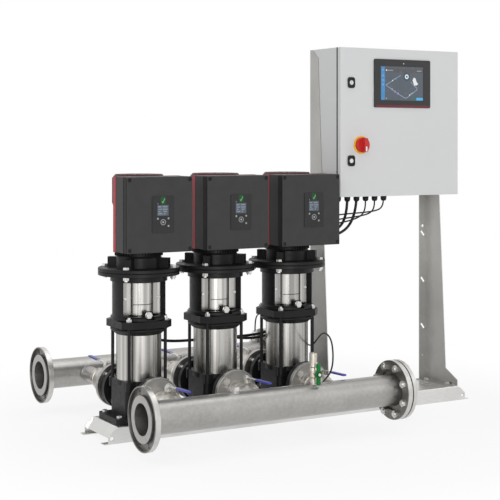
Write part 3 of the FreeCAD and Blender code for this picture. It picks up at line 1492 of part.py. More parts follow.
# Drive: a housing saddled on the motor, a front cover and a control panel on it
def runs_back(edge, middle):
    """True for a straight edge along Y."""
    return abs(edge.tangentAt(edge.FirstParameter).y) > 0.99


def drive():
    body = new_body("drive_box")
    half = size.drive_half_width
    low, high = size.drive_bottom, size.drive_top
    seam = size.drive_front - size.drive_cover_depth
    outer = rectangle(new_sketch(body, "XZ_Plane", size.drive_rear), -half, low, half, high)
    last = pad(body, outer, seam - size.drive_rear)
    last = rounded(body, last, size.drive_corner, runs_back)
    proud = size.drive_band_proud
    band = rectangle(new_sketch(body, "XZ_Plane", size.drive_rear), -half - proud, low, half + proud,
                     high + proud)
    last = pad(body, band, size.drive_band_depth)
    last = rounded(body, last, size.drive_corner, lambda edge, middle: runs_back(edge, middle)
                   and abs(middle.x) > half.value + 0.5 and middle.z > high.value)
    groove = size.drive_groove
    step = rectangle(new_sketch(body, "XZ_Plane", seam - groove), -half - 1, low - 1, half + 1, high + 1)
    rectangle(step, -half + 4, low + 4, half - 4, high - 4)
    pocket(body, step, groove, back=True)
    saddle = new_sketch(body, "XY_Plane", low - 1)
    circle(saddle, 0, 0, size.stator_radius + size.stator_rib + size.seat_gap)
    pocket(body, saddle, high - low + 2, back=True)
    cap = circle(new_sketch(body, "XY_Plane", size.stator_top - 8), 0, 0, size.fan_cover_radius + 0.8)
    pocket(body, cap, high - low, back=True)
    entry = new_sketch(body, "XZ_Plane", size.drive_rear)
    collar = new_sketch(body, "XZ_Plane", size.drive_rear)
    for rise, hole in ((0, size.power_cable_radius + 0.3),
                       (size.control_entry_rise, size.signal_cable_radius + 0.3)):
        circle(entry, half - 18, low + 40 + rise, hole)
        circle(collar, half - 18, low + 40 + rise, hole + 5.2)
        circle(collar, half - 18, low + 40 + rise, hole)
    pocket(body, entry, 20, back=True)
    pad(body, collar, 14, back=True)
    for pump in range(PUMPS):
        keep(f"drive_box_{pump + 1}", copy_at(f"drive_at_{pump}", body, pump_x(pump)))


def drive_covers():
    body = new_body("drive_cover")
    half = size.drive_half_width
    low, high = size.drive_bottom, size.drive_top
    seam = size.drive_front - size.drive_cover_depth
    outer = rectangle(new_sketch(body, "XZ_Plane", seam), -half, low, half, high)
    last = pad(body, outer, size.drive_cover_depth)
    last = rounded(body, last, size.drive_corner, runs_back)
    front = size.drive_front.value
    rounded(body, last, size.drive_corner - 1, lambda edge, middle: abs(middle.y + front) < 0.01)
    inset = size.drive_screw_inset
    screws = new_sketch(body, "XZ_Plane", size.drive_front)
    heads = new_sketch(body, "XZ_Plane", size.drive_front - 3)
    for x, z in four_corners(half - inset, (high - low) / 2 - inset):
        circle(screws, x, (low + high) / 2 + z, size.drive_screw_radius)
        circle(heads, x, (low + high) / 2 + z, size.drive_screw_radius - 1.5)
    pocket(body, screws, 3)
    pad(body, heads, 2)
    keep("drive_covers", *[copy_at(f"drive_cover_{pump}", body, pump_x(pump)) for pump in range(PUMPS)])
    panel = new_body("control_panel")
    centre = size.hmi_offset
    half_panel = size.hmi_width / 2
    bottom = size.hmi_top - size.hmi_height
    face = rectangle(new_sketch(panel, "XZ_Plane", size.drive_front), centre - half_panel, bottom,
                     centre + half_panel, size.hmi_top)
    last = pad(panel, face, size.hmi_proud)
    rounded(panel, last, 5, lambda edge, middle: edge.Length < size.hmi_proud.value + 0.1)
    screen = new_sketch(panel, "XZ_Plane", size.drive_front + size.hmi_proud)
    rectangle(screen, centre - half_panel + 20, size.hmi_top - 70, centre + half_panel - 22,
              size.hmi_top - 32)
    pocket(panel, screen, 0.8)
    keep("control_panels", *[copy_at(f"control_panel_{pump}", panel, pump_x(pump)) for pump in range(PUMPS)])


# Cables, each along straight runs joined by tangent arcs
def cable_path(points):
    """The wire through the points, with each corner rounded as far as its two runs allow."""
    edges = []
    start = points[0]
    tightest = None
    for before, corner, after in zip(points, points[1:], points[2:]):
        to_corner = (corner - before).normalize()
        onwards = (after - corner).normalize()
        turn = to_corner.getAngle(onwards)
        setback = 0.45 * min((corner - before).Length, (after - corner).Length)
        radius = setback / math.tan(turn / 2)
        tightest = radius if tightest is None else min(tightest, radius)
        inward = (onwards - to_corner).normalize()
        begin = corner - to_corner * setback
        end = corner + onwards * setback
        centre = corner + inward * (radius / math.cos(turn / 2))
        middle = centre - inward * radius
        edges.append(Part.LineSegment(start, begin).toShape())
        edges.append(Part.Arc(begin, middle, end).toShape())
        start = end
    edges.append(Part.LineSegment(start, points[-1]).toShape())
    return Part.Wire(edges), tightest


def cable(name, route, radius):
    """A round cable along its route, as one closed solid."""
    points = [vec(*[amount_of(part) for part in point]) for point in route]
    path, tightest = cable_path(points)
    radius = amount_of(radius)
    section = Part.Wire(Part.makeCircle(radius, points[0], points[1] - points[0]))
    shape = path.makePipeShell([section], True, False)
    made = doc.addObject("Part::Feature", name)
    made.Shape = Part.Solid(shape) if shape.ShapeType == "Shell" else shape
    expected = math.pi * radius ** 2 * path.Length
    print(f"{name}: {path.Length:.0f} long, radius {tightest:.0f}, volume {shape.Volume / expected:.4f}")
    return made


def cables():
    """From the glands: a power cable to each drive, two sensor cables and a control cable."""
    gland_z = size.cabinet_bottom
    entry_z = size.drive_bottom + 40
    entry_x = size.drive_half_width - 18
    entry_y = -size.drive_rear
    last = pump_x(PUMPS - 1)
    made = []
    for pump in range(PUMPS):
        passed = PUMPS - 1 - pump
        x = gland_x(passed)
        at = pump_x(pump)
        side = 14 * passed
        turn_in = 10
        leg = last + 70 + 14 * passed
        route = [(x, 0, gland_z - 2), (x, 0, gland_z - 46), (x - 6 - 12 * passed, -8, 752 - side),
                 (170, -42 - side, 726 - side)]
        if passed:
            lane = 138 + 16 * passed
            level = 276 + 11 * passed
            route += [(last + 140, 66 + side, 706 - side), (leg, lane, 674 - side),
                      (leg - 4, lane + 3, 600), (leg - 2, lane, 450), (leg - 6, lane + 3, 345),
                      (last + 20, lane, level)]
            for between in range(PUMPS - 2, pump, -1):
                route += [(pump_x(between) + 180, lane + 3, level - 3), (pump_x(between) + 20, lane, level)]
            route += [(at + 190, lane + 3, level - 2), (at + 84, lane, level + 40),
                      (at + 81, lane + 3, 450), (at + 83, lane, 600), (at + 88, lane - 6, 690)]
            route += [(at + 122, 80, entry_z)]
        else:
            turn_in = 34
            route += [(170, turn_in, 716), ((170 + at + entry_x) / 2, turn_in + 16.5, 716)]
        route += [(at + entry_x, turn_in, entry_z), (at + entry_x, entry_y + 8, entry_z)]
        made.append(cable(f"power_cable_{pump + 1}", route, size.power_cable_radius))
    sensor_top = axis_height + size.boss_top + 43
    behind = (size.sensor_x, size.suction_offset)
    tail = (size.discharge_sensor_x, size.boss_top - size.discharge_offset + 19)
    riser = [(last + 118, 172, 400), (last + 120, 176, 520), (last + 118, 172, 630),
             (last + 156, 96, 716), (172, -64, 748)]
    discharge = [(*tail, axis_height + size.sensor_tail), (*tail, axis_height + size.sensor_tail + 22),
                 (-31, -374, 214), (-31, -372, 330), (-22, -300, 372), (52, -150, 318), (106, -20, 262),
                 (128, 60, 262), (130, 150, 300)]
    discharge += riser + [(gland_x(3) - 14, -20, gland_z - 92), (gland_x(3), 0, gland_z - 46),
                          (gland_x(3), 0, gland_z - 2)]
    made.append(cable("discharge_sensor_cable", discharge, size.signal_cable_radius))
    suction = [(*behind, sensor_top), (*behind, sensor_top + 60), (150, 470, 345),
               (135, 310, 330), (132, 212, 346)]
    suction += [(x + 8, y + 8, z + 8) for x, y, z in riser[:-1]] + [(176, -76, 770)]
    suction += [(gland_x(4) - 20, -28, gland_z - 82), (gland_x(4), 0, gland_z - 46),
                (gland_x(4), 0, gland_z - 2)]
    made.append(cable("suction_sensor_cable", suction, size.signal_cable_radius))
    control_z = entry_z + size.control_entry_rise
    control = [(gland_x(5), 0, gland_z - 2), (gland_x(5), 0, gland_z - 46),
               (gland_x(5) - 30, -24, gland_z - 70), (184, -58, 788), (172, 30, 756), (141, 56, control_z),
               (last + entry_x, 30, control_z), (last + entry_x, entry_y + 8, control_z)]
    made.append(cable("control_cable", control, size.signal_cable_radius))
    keep("cables", *made)


base_frame()
cabinet_post("cabinet_post_left", size.cabinet_left - size.post_sheet, 1, False, post_bolt_places()[:2])
cabinet_post("cabinet_post_right", cabinet_right + size.post_sheet, -1, True, post_bolt_places()[2:])
cabinet_box()
door_hinges()
cabinet_door()
door_seal()
touch_panel()
main_switch()
door_locks()
cabinet_inside()
cable_glands()
manifold("discharge_manifold", -size.discharge_offset, 1,
         size.discharge_offset - size.discharge_ball_offset - size.valve_half_length,
         [(size.plug_x, size.boss_radius), (size.tank_x, size.boss_radius)],
         [size.discharge_sensor_x])
manifold("suction_manifold", size.suction_offset, -1,
         size.suction_offset - size.suction_ball_offset - size.valve_half_length,
         [(size.sensor_x, size.boss_radius)])
flange_bolt_pieces = manifold_ends()
flange_bolt_pieces += port_pieces()
keep("flange_bolts", *flange_bolt_pieces)
valve_levers()
tank_connection()
sensors_and_plugs()
pump_base()
pump_heads()
sleeves_and_stay_bolts()
foot_bolts()
motor_stool()
coupling_guards()
motor()
fan_covers()
motor_bolts()
rotor()
drive()
drive_covers()
cables()
doc.recompute()


def check_and_write():
    """Writes every node, once each object of the document has been built without a fault."""
    faults = []
    for thing in doc.Objects:
        if "Invalid" in thing.State or "Error" in thing.State:
            faults.append(f"{thing.Name}: {thing.State}")
    for node in NODES:
        if node.Shape.isNull() or not node.Shape.isValid():
            faults.append(f"{node.Label}: shape")
    if faults:
        raise RuntimeError("; ".join(faults))
    os.makedirs("parts", exist_ok=True)
    for node in NODES:
        node.Shape.exportStep(f"parts/{node.Label}.step")
    print(f"{len(NODES)} nodes")


check_and_write()
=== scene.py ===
import json
import math

import bmesh
import bpy
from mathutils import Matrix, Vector


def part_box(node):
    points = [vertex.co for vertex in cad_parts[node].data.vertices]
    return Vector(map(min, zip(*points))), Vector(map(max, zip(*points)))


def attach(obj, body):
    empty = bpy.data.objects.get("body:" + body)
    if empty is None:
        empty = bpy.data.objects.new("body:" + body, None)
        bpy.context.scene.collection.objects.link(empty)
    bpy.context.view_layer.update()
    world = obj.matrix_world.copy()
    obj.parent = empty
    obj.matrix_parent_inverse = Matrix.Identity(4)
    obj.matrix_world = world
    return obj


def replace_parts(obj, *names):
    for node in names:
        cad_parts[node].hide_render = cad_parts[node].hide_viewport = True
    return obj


# Booster pump set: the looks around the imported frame. Metres, +X along the manifolds,
# -Y towards the discharge manifold and the cabinet door, +Z up.

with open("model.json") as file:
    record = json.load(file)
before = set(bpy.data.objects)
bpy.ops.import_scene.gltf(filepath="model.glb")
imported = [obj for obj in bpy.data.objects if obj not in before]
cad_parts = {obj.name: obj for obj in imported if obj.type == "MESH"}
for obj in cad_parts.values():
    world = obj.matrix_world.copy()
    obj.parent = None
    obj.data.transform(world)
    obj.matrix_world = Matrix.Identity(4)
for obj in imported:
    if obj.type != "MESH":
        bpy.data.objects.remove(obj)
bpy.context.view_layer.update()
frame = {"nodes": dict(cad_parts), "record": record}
NODES = frame["nodes"]
ROOT = "pump_set"
MM = 0.001
PUMPS = (1, 2, 3)
# How far a face may lie from a stated place and still count as there, in millimetres
NEAR = 0.1

# Camera: level, from the left front, with the frame moved down to the object
CAMERA_PLACE = Vector((-2.6539, -4.2939, 1.0727))
CAMERA_HEADING = 30.086
CAMERA_LENS = 92.45
CAMERA_SHIFT = -0.216
CAMERA_SENSOR = 36.0
CAMERA_NEAR, CAMERA_FAR = 0.1, 60.0


def make_camera():
    data = bpy.data.cameras.new("camera")
    data.lens = CAMERA_LENS
    data.sensor_width = CAMERA_SENSOR
    data.shift_y = CAMERA_SHIFT
    data.clip_start = CAMERA_NEAR
    data.clip_end = CAMERA_FAR
    camera = bpy.data.objects.new("camera", data)
    camera.location = CAMERA_PLACE
    camera.rotation_euler = (math.radians(90), 0, math.radians(-CAMERA_HEADING))
    bpy.context.scene.collection.objects.link(camera)
    bpy.context.scene.camera = camera


# Small helpers for objects
def link(name, mesh, materials=()):
    """A new object of a mesh, in the scene."""
    made = bpy.data.objects.new(name, mesh)
    for material in materials:
        mesh.materials.append(material)
    bpy.context.scene.collection.objects.link(made)
    return made


def area_light(name, place, target, width, height, power):
    data = bpy.data.lights.new(name, "AREA")
    data.shape = "RECTANGLE"
    data.size = width
    data.size_y = height
    data.energy = power
    lamp = bpy.data.objects.new(name, data)
    lamp.location = place
    lamp.rotation_euler = (Vector(target) - Vector(place)).to_track_quat("-Z", "Y").to_euler()
    bpy.context.scene.collection.objects.link(lamp)
    return lamp


# Studio: pale floor, white surroundings and large soft lamps
AMBIENT = 0.40
FLOOR_COLOUR = (0.93, 0.93, 0.93, 1)
FLOOR_WHITE_NEAR = 0.84
FLOOR_FADE = (0.8, 1.7)
FLOOR_REACH = 30.0
FLOOR_LEVEL = -0.0006
# Each lamp: its place, what it faces, its width and height, and its power
LAMPS = {
    "key": ((-2.6, -3.6, 3.0), (-0.1, 0, 0.6), 2.0, 2.0, 38),
    "front": ((-2.3, -4.9, 1.05), (0.0, 0, 0.45), 2.0, 1.2, 76),
    "top": ((0.3, 0.2, 4.2), (0, 0, 0.6), 3.4, 2.6, 34),
    "right": ((3.6, -2.4, 1.9), (0.1, 0, 0.7), 1.6, 2.4, 22),
    "left": ((-3.9, 1.0, 1.7), (-0.3, 0.1, 0.6), 1.2, 2.2, 14),
}


def seen_directly(tree):
    """One for rays that show the surroundings: from the camera, in gloss and through glass."""
    path = tree.nodes.new("ShaderNodeLightPath")
    first = tree.nodes.new("ShaderNodeMath")
    first.operation = "MAXIMUM"
    tree.links.new(path.outputs["Is Camera Ray"], first.inputs[0])
    tree.links.new(path.outputs["Is Glossy Ray"], first.inputs[1])
    second = tree.nodes.new("ShaderNodeMath")
    second.operation = "MAXIMUM"
    tree.links.new(first.outputs[0], second.inputs[0])
    tree.links.new(path.outputs["Is Transmission Ray"], second.inputs[1])
    return second.outputs[0]


def make_world():
    world = bpy.data.worlds.new("studio")
    bpy.context.scene.world = world
    world.use_nodes = True
    tree = world.node_tree
    tree.nodes.clear()
    plain = tree.nodes.new("ShaderNodeBackground")
    plain.inputs["Color"].default_value = (1, 1, 1, 1)
    plain.inputs["Strength"].default_value = AMBIENT
    shown = tree.nodes.new("ShaderNodeBackground")
    shown.inputs["Color"].default_value = (1, 1, 1, 1)
    shown.inputs["Strength"].default_value = 1.0
    mix = tree.nodes.new("ShaderNodeMixShader")
    tree.links.new(seen_directly(tree), mix.inputs["Fac"])
    tree.links.new(plain.outputs[0], mix.inputs[1])
    tree.links.new(shown.outputs[0], mix.inputs[2])
    out = tree.nodes.new("ShaderNodeOutputWorld")
    tree.links.new(mix.outputs[0], out.inputs["Surface"])


def make_floor():
    """A wide pale floor that keeps the object's shadow and fades into the white around it."""
    mesh = bpy.data.meshes.new("floor")
    corners = [(-1, -1), (1, -1), (1, 1), (-1, 1)]
    mesh.from_pydata([(x * FLOOR_REACH, y * FLOOR_REACH, FLOOR_LEVEL) for x, y in corners], [],
                     [(0, 1, 2, 3)])
    material = bpy.data.materials.new("floor")
    material.use_nodes = True
    tree = material.node_tree
    tree.nodes.clear()
    matt = tree.nodes.new("ShaderNodeBsdfDiffuse")
    matt.inputs["Color"].default_value = FLOOR_COLOUR
    white = tree.nodes.new("ShaderNodeEmission")
    white.inputs["Color"].default_value = (1, 1, 1, 1)
    place = tree.nodes.new("ShaderNodeTexCoord")
    distance = tree.nodes.new("ShaderNodeVectorMath")
    distance.operation = "LENGTH"
    tree.links.new(place.outputs["Object"], distance.inputs[0])
    fade = tree.nodes.new("ShaderNodeMapRange")
    fade.interpolation_type = "SMOOTHSTEP"
    fade.inputs["From Min"].default_value = FLOOR_FADE[0]
    fade.inputs["From Max"].default_value = FLOOR_FADE[1]
    fade.inputs["To Min"].default_value = FLOOR_WHITE_NEAR
    tree.links.new(distance.outputs["Value"], fade.inputs["Value"])
    both = tree.nodes.new("ShaderNodeMath")
    both.operation = "MULTIPLY"
    tree.links.new(seen_directly(tree), both.inputs[0])
    tree.links.new(fade.outputs["Result"], both.inputs[1])
    mix = tree.nodes.new("ShaderNodeMixShader")
    tree.links.new(both.outputs[0], mix.inputs["Fac"])
    tree.links.new(matt.outputs[0], mix.inputs[1])
    tree.links.new(white.outputs[0], mix.inputs[2])
    out = tree.nodes.new("ShaderNodeOutputMaterial")
    tree.links.new(mix.outputs[0], out.inputs["Surface"])
    link("floor", mesh, [material])


def make_lamps():
    for name, lamp in LAMPS.items():
        area_light(name, *lamp)


# Finishes: one principled shader each, with its detail from noise in the object's own frame
class Finish:
    """A material, and short calls for the nodes that vary it."""

    def __init__(self, name, colour, roughness, metallic=0.0, **sockets):
        self.material = bpy.data.materials.new(name)
        self.material.use_nodes = True
        self.tree = self.material.node_tree
        self.shader = self.tree.nodes["Principled BSDF"]
        self.colour = (*colour, 1)
        self.shader.inputs["Base Color"].default_value = self.colour
        self.shader.inputs["Roughness"].default_value = roughness
        self.shader.inputs["Metallic"].default_value = metallic
        for socket, value in sockets.items():
            self.shader.inputs[socket.replace("_", " ")].default_value = value
        self.roughness = roughness
        self.normal = None

    def node(self, kind, **settings):
        made = self.tree.nodes.new("ShaderNode" + kind)
        for setting, value in settings.items():
            setattr(made, setting, value)
        return made

    def join(self, out, into):
        self.tree.links.new(out, into)

    def place(self, stretch):
        """The object's own coordinates, each axis scaled."""
        where = self.node("TexCoord")
        mapping = self.node("Mapping")
        mapping.inputs["Scale"].default_value = stretch
        self.join(where.outputs["Object"], mapping.inputs["Vector"])
        return mapping.outputs["Vector"]

    def noise(self, scale, detail=3.0, stretch=(1, 1, 1), roughness=0.5):
        made = self.node("TexNoise")
        made.inputs["Scale"].default_value = scale
        made.inputs["Detail"].default_value = detail
        made.inputs["Roughness"].default_value = roughness
        self.join(self.place(stretch), made.inputs["Vector"])
        return made.outputs["Fac"]

    def spread(self, mask, low, high, to_low=0.0, to_high=1.0):
        """A mask stretched so that low and high become the two ends."""
        made = self.node("MapRange")
        ends = (("From Min", low), ("From Max", high), ("To Min", to_low), ("To Max", to_high))
        for socket, value in ends:
            made.inputs[socket].default_value = value
        self.join(mask, made.inputs["Value"])
        return made.outputs["Result"]

    def blend(self, mask, dark, light):
        """A colour that goes from dark to light as the mask goes from none to one."""
        made = self.node("Mix", data_type="RGBA")
        made.inputs["A"].default_value = (*dark, 1)
        made.inputs["B"].default_value = (*light, 1)
        self.join(mask, made.inputs["Factor"])
        return made.outputs["Result"]

    def tint(self, mask, dark, light=1.0):
        """The base colour from a darker to a lighter share of itself, as the mask goes."""
        before = self.shader.inputs["Base Color"]
        if before.is_linked:
            both = self.node("Mix", data_type="RGBA", blend_type="MULTIPLY")
            both.inputs["Factor"].default_value = 1.0
            self.join(before.links[0].from_socket, both.inputs["A"])
            self.join(self.blend(mask, (dark,) * 3, (light,) * 3), both.inputs["B"])
            self.join(both.outputs["Result"], before)
        else:
            shades = [[min(1.0, part * share) for part in self.colour[:3]] for share in (dark, light)]
            self.join(self.blend(mask, *shades), before)
        return self

    def stain(self, mask, colour):
        """Another colour where the mask is one."""
        before = self.shader.inputs["Base Color"]
        mix = self.node("Mix", data_type="RGBA")
        mix.inputs["B"].default_value = (*colour, 1)
        if before.is_linked:
            self.join(before.links[0].from_socket, mix.inputs["A"])
        else:
            mix.inputs["A"].default_value = self.colour
        self.join(mask, mix.inputs["Factor"])
        self.join(mix.outputs["Result"], before)
        return self

    def polish(self, mask, change):
        """Roughness that differs by up to this change where the mask is one."""
        made = self.spread(mask, 0.0, 1.0, self.roughness, self.roughness + change)
        self.join(made, self.shader.inputs["Roughness"])
        return self

    def soft_edges(self, radius):
        """Edges that catch the light as if rounded by this radius."""
        made = self.node("Bevel", samples=4)
        made.inputs["Radius"].default_value = radius
        return self.use_normal(made.outputs["Normal"])

    def relief(self, mask, depth, strength=1.0):
        made = self.node("Bump")
        made.inputs["Distance"].default_value = depth
        made.inputs["Strength"].default_value = strength
        self.join(mask, made.inputs["Height"])
        if self.normal is not None:
            self.join(self.normal, made.inputs["Normal"])
        return self.use_normal(made.outputs["Normal"])

    def use_normal(self, normal):
        self.normal = normal
        self.join(normal, self.shader.inputs["Normal"])
        return self


def sheet_steel(name, colour, grain, roughness=0.36):
    """Cold-rolled stainless sheet: fine grain along one axis, cloudy gloss and light handling marks."""
    made = Finish(name, colour, roughness, 1.0)
    made.soft_edges(0.9 * MM)
    made.tint(made.spread(made.noise(5.0, 4.0), 0.3, 0.7), 0.90, 1.05)
    made.tint(made.spread(made.noise(900.0, 2.0, grain), 0.35, 0.65), 0.94, 1.04)
    made.polish(made.spread(made.noise(11.0, 5.0), 0.3, 0.7), 0.13)
    made.relief(made.noise(1400.0, 2.0, grain), 0.02 * MM, 0.5)
    return made


def manifold_steel():
    """Pickled stainless tube: matt, finely mottled, with a grain along the tube."""
    made = Finish("manifold_steel", (0.41, 0.40, 0.385), 0.36, 1.0)
    made.soft_edges(1.0 * MM)
    made.tint(made.spread(made.noise(75.0, 6.0, roughness=0.62), 0.32, 0.68), 0.90, 1.06)
    made.tint(made.spread(made.noise(9.0, 3.0), 0.3, 0.7), 0.93, 1.03)
    made.polish(made.spread(made.noise(26.0, 5.0), 0.3, 0.7), 0.08)
    made.relief(made.noise(420.0, 3.0, (0.3, 1, 1)), 0.05 * MM, 0.5)
    return made


def flange_steel(name="flange_steel", colour=(0.40, 0.39, 0.375)):
    """Pressed flange: satin, a little darker, with faint turning marks."""
    made = Finish(name, colour, 0.34, 1.0)
    made.soft_edges(1.2 * MM)
    made.tint(made.spread(made.noise(30.0, 5.0), 0.3, 0.7), 0.86, 1.08)
    made.polish(made.spread(made.noise(45.0, 4.0), 0.3, 0.7), 0.12)
    made.relief(made.noise(700.0, 2.0), 0.03 * MM, 0.5)
    return made


def brushed_sleeve():
    """Bright stainless tube, brushed upright; its broad upright streaks of lighter and darker colour are
    painted reflection.
    """
    made = Finish("sleeve_steel", (0.66, 0.645, 0.615), 0.23, 1.0, Anisotropic=0.35)
    made.soft_edges(0.6 * MM)
    # Painted reflection: two broad upright bands of light and dark in the base colour; the fine streaks
    # after them are the brushing.
    made.tint(made.spread(made.noise(26.0, 2.0, (1, 1, 0)), 0.36, 0.62), 0.55, 1.06)
    made.tint(made.spread(made.noise(78.0, 1.0, (1, 1, 0)), 0.42, 0.60), 0.68, 1.04)
    made.tint(made.spread(made.noise(600.0, 2.0, (1, 1, 0.01)), 0.3, 0.7), 0.95, 1.04)
    made.polish(made.spread(made.noise(120.0, 2.0, (1, 1, 0)), 0.3, 0.7), 0.08)
    made.relief(made.noise(1800.0, 2.0, (1, 1, 0.01)), 0.004 * MM, 0.4)
    return made


def weld_steel():
    """Weld seam: rippled and tinted by the heat."""
    made = Finish("weld_steel", (0.42, 0.40, 0.36), 0.42, 1.0)
    made.stain(made.spread(made.noise(60.0, 3.0), 0.45, 0.7, 0.0, 0.6), (0.30, 0.24, 0.17))
    made.polish(made.spread(made.noise(90.0, 3.0), 0.3, 0.7), 0.15)
    made.relief(made.noise(380.0, 2.0), 0.5 * MM, 0.8)
    return made


def cast_black():
    """Cast iron under a satin black coat: the casting's skin shows as fine relief."""
    made = Finish("pump_black", (0.0095, 0.0095, 0.0100), 0.36, 0.0, Specular_IOR_Level=0.20)
    made.soft_edges(1.4 * MM)
    made.tint(made.spread(made.noise(18.0, 5.0), 0.3, 0.7), 0.75, 1.25)
    worn = made.spread(made.noise(70.0, 6.0, roughness=0.7), 0.66, 0.9, 0.0, 0.20)
    made.stain(worn, (0.03, 0.03, 0.03))
    made.polish(made.spread(made.noise(60.0, 4.0), 0.3, 0.7), 0.14)
    made.relief(made.noise(260.0, 5.0, roughness=0.6), 0.24 * MM, 0.5)
    return made


def powder_coat(name, colour, roughness=0.42, gloss=0.5):
    """Powder coat: an even colour over a fine orange peel."""
    made = Finish(name, colour, roughness, 0.0, Specular_IOR_Level=gloss)
    made.soft_edges(1.0 * MM)
    made.tint(made.spread(made.noise(3.0, 3.0), 0.3, 0.7), 0.975, 1.01)
    made.polish(made.spread(made.noise(350.0, 2.0), 0.3, 0.7), 0.08)
    made.relief(made.noise(700.0, 2.0), 0.05 * MM, 0.5)
    return made


def moulded(name, colour, roughness=0.45, gloss=0.5):
    """Moulded plastic with a spark-eroded skin."""
    made = Finish(name, colour, roughness, 0.0, Specular_IOR_Level=gloss)
    made.soft_edges(0.8 * MM)
    made.tint(made.spread(made.noise(24.0, 4.0), 0.3, 0.7), 0.92, 1.06)
    made.polish(made.spread(made.noise(90.0, 3.0), 0.3, 0.7), 0.10)
    made.relief(made.noise(1100.0, 2.0), 0.05 * MM, 0.5)
    return made


def rubbery(name, colour=(0.006, 0.006, 0.006), roughness=0.55, gloss=0.2):
    """Rubber or a soft sheath: dark, with a faint dust."""
    made = Finish(name, colour, roughness, 0.0, Specular_IOR_Level=gloss)
    made.tint(made.spread(made.noise(60.0, 4.0), 0.3, 0.7), 0.8, 1.5)
    made.polish(made.spread(made.noise(120.0, 3.0), 0.3, 0.7), 0.12)
    made.relief(made.noise(800.0, 2.0), 0.05 * MM, 0.4)
    return made


def plated(name, colour, roughness=0.30):
    """Zinc or nickel plate: bright, slightly cloudy and yellowed in patches."""
    made = Finish(name, colour, roughness, 1.0)
    made.soft_edges(0.7 * MM)
    made.tint(made.spread(made.noise(120.0, 4.0), 0.3, 0.7), 0.82, 1.1)
    made.stain(made.spread(made.noise(45.0, 3.0), 0.55, 0.85, 0.0, 0.25), (0.56, 0.50, 0.40))
    made.polish(made.spread(made.noise(200.0, 3.0), 0.3, 0.7), 0.14)
    made.relief(made.noise(600.0, 3.0), 0.04 * MM, 0.4)
    return made


def lit(name, colour, glow=0.0, gloss=0.3):
    """A display's glass or a printed or lit mark on it."""
    made = Finish(name, colour, 0.22, 0.0, Specular_IOR_Level=gloss)
    made.tint(made.spread(made.noise(60.0, 2.0), 0.3, 0.7), 0.94, 1.03)
    made.polish(made.spread(made.noise(40.0, 2.0), 0.3, 0.7), 0.06)
    if glow:
        made.shader.inputs["Emission Color"].default_value = (*colour, 1)
        made.shader.inputs["Emission Strength"].default_value = glow
    return made


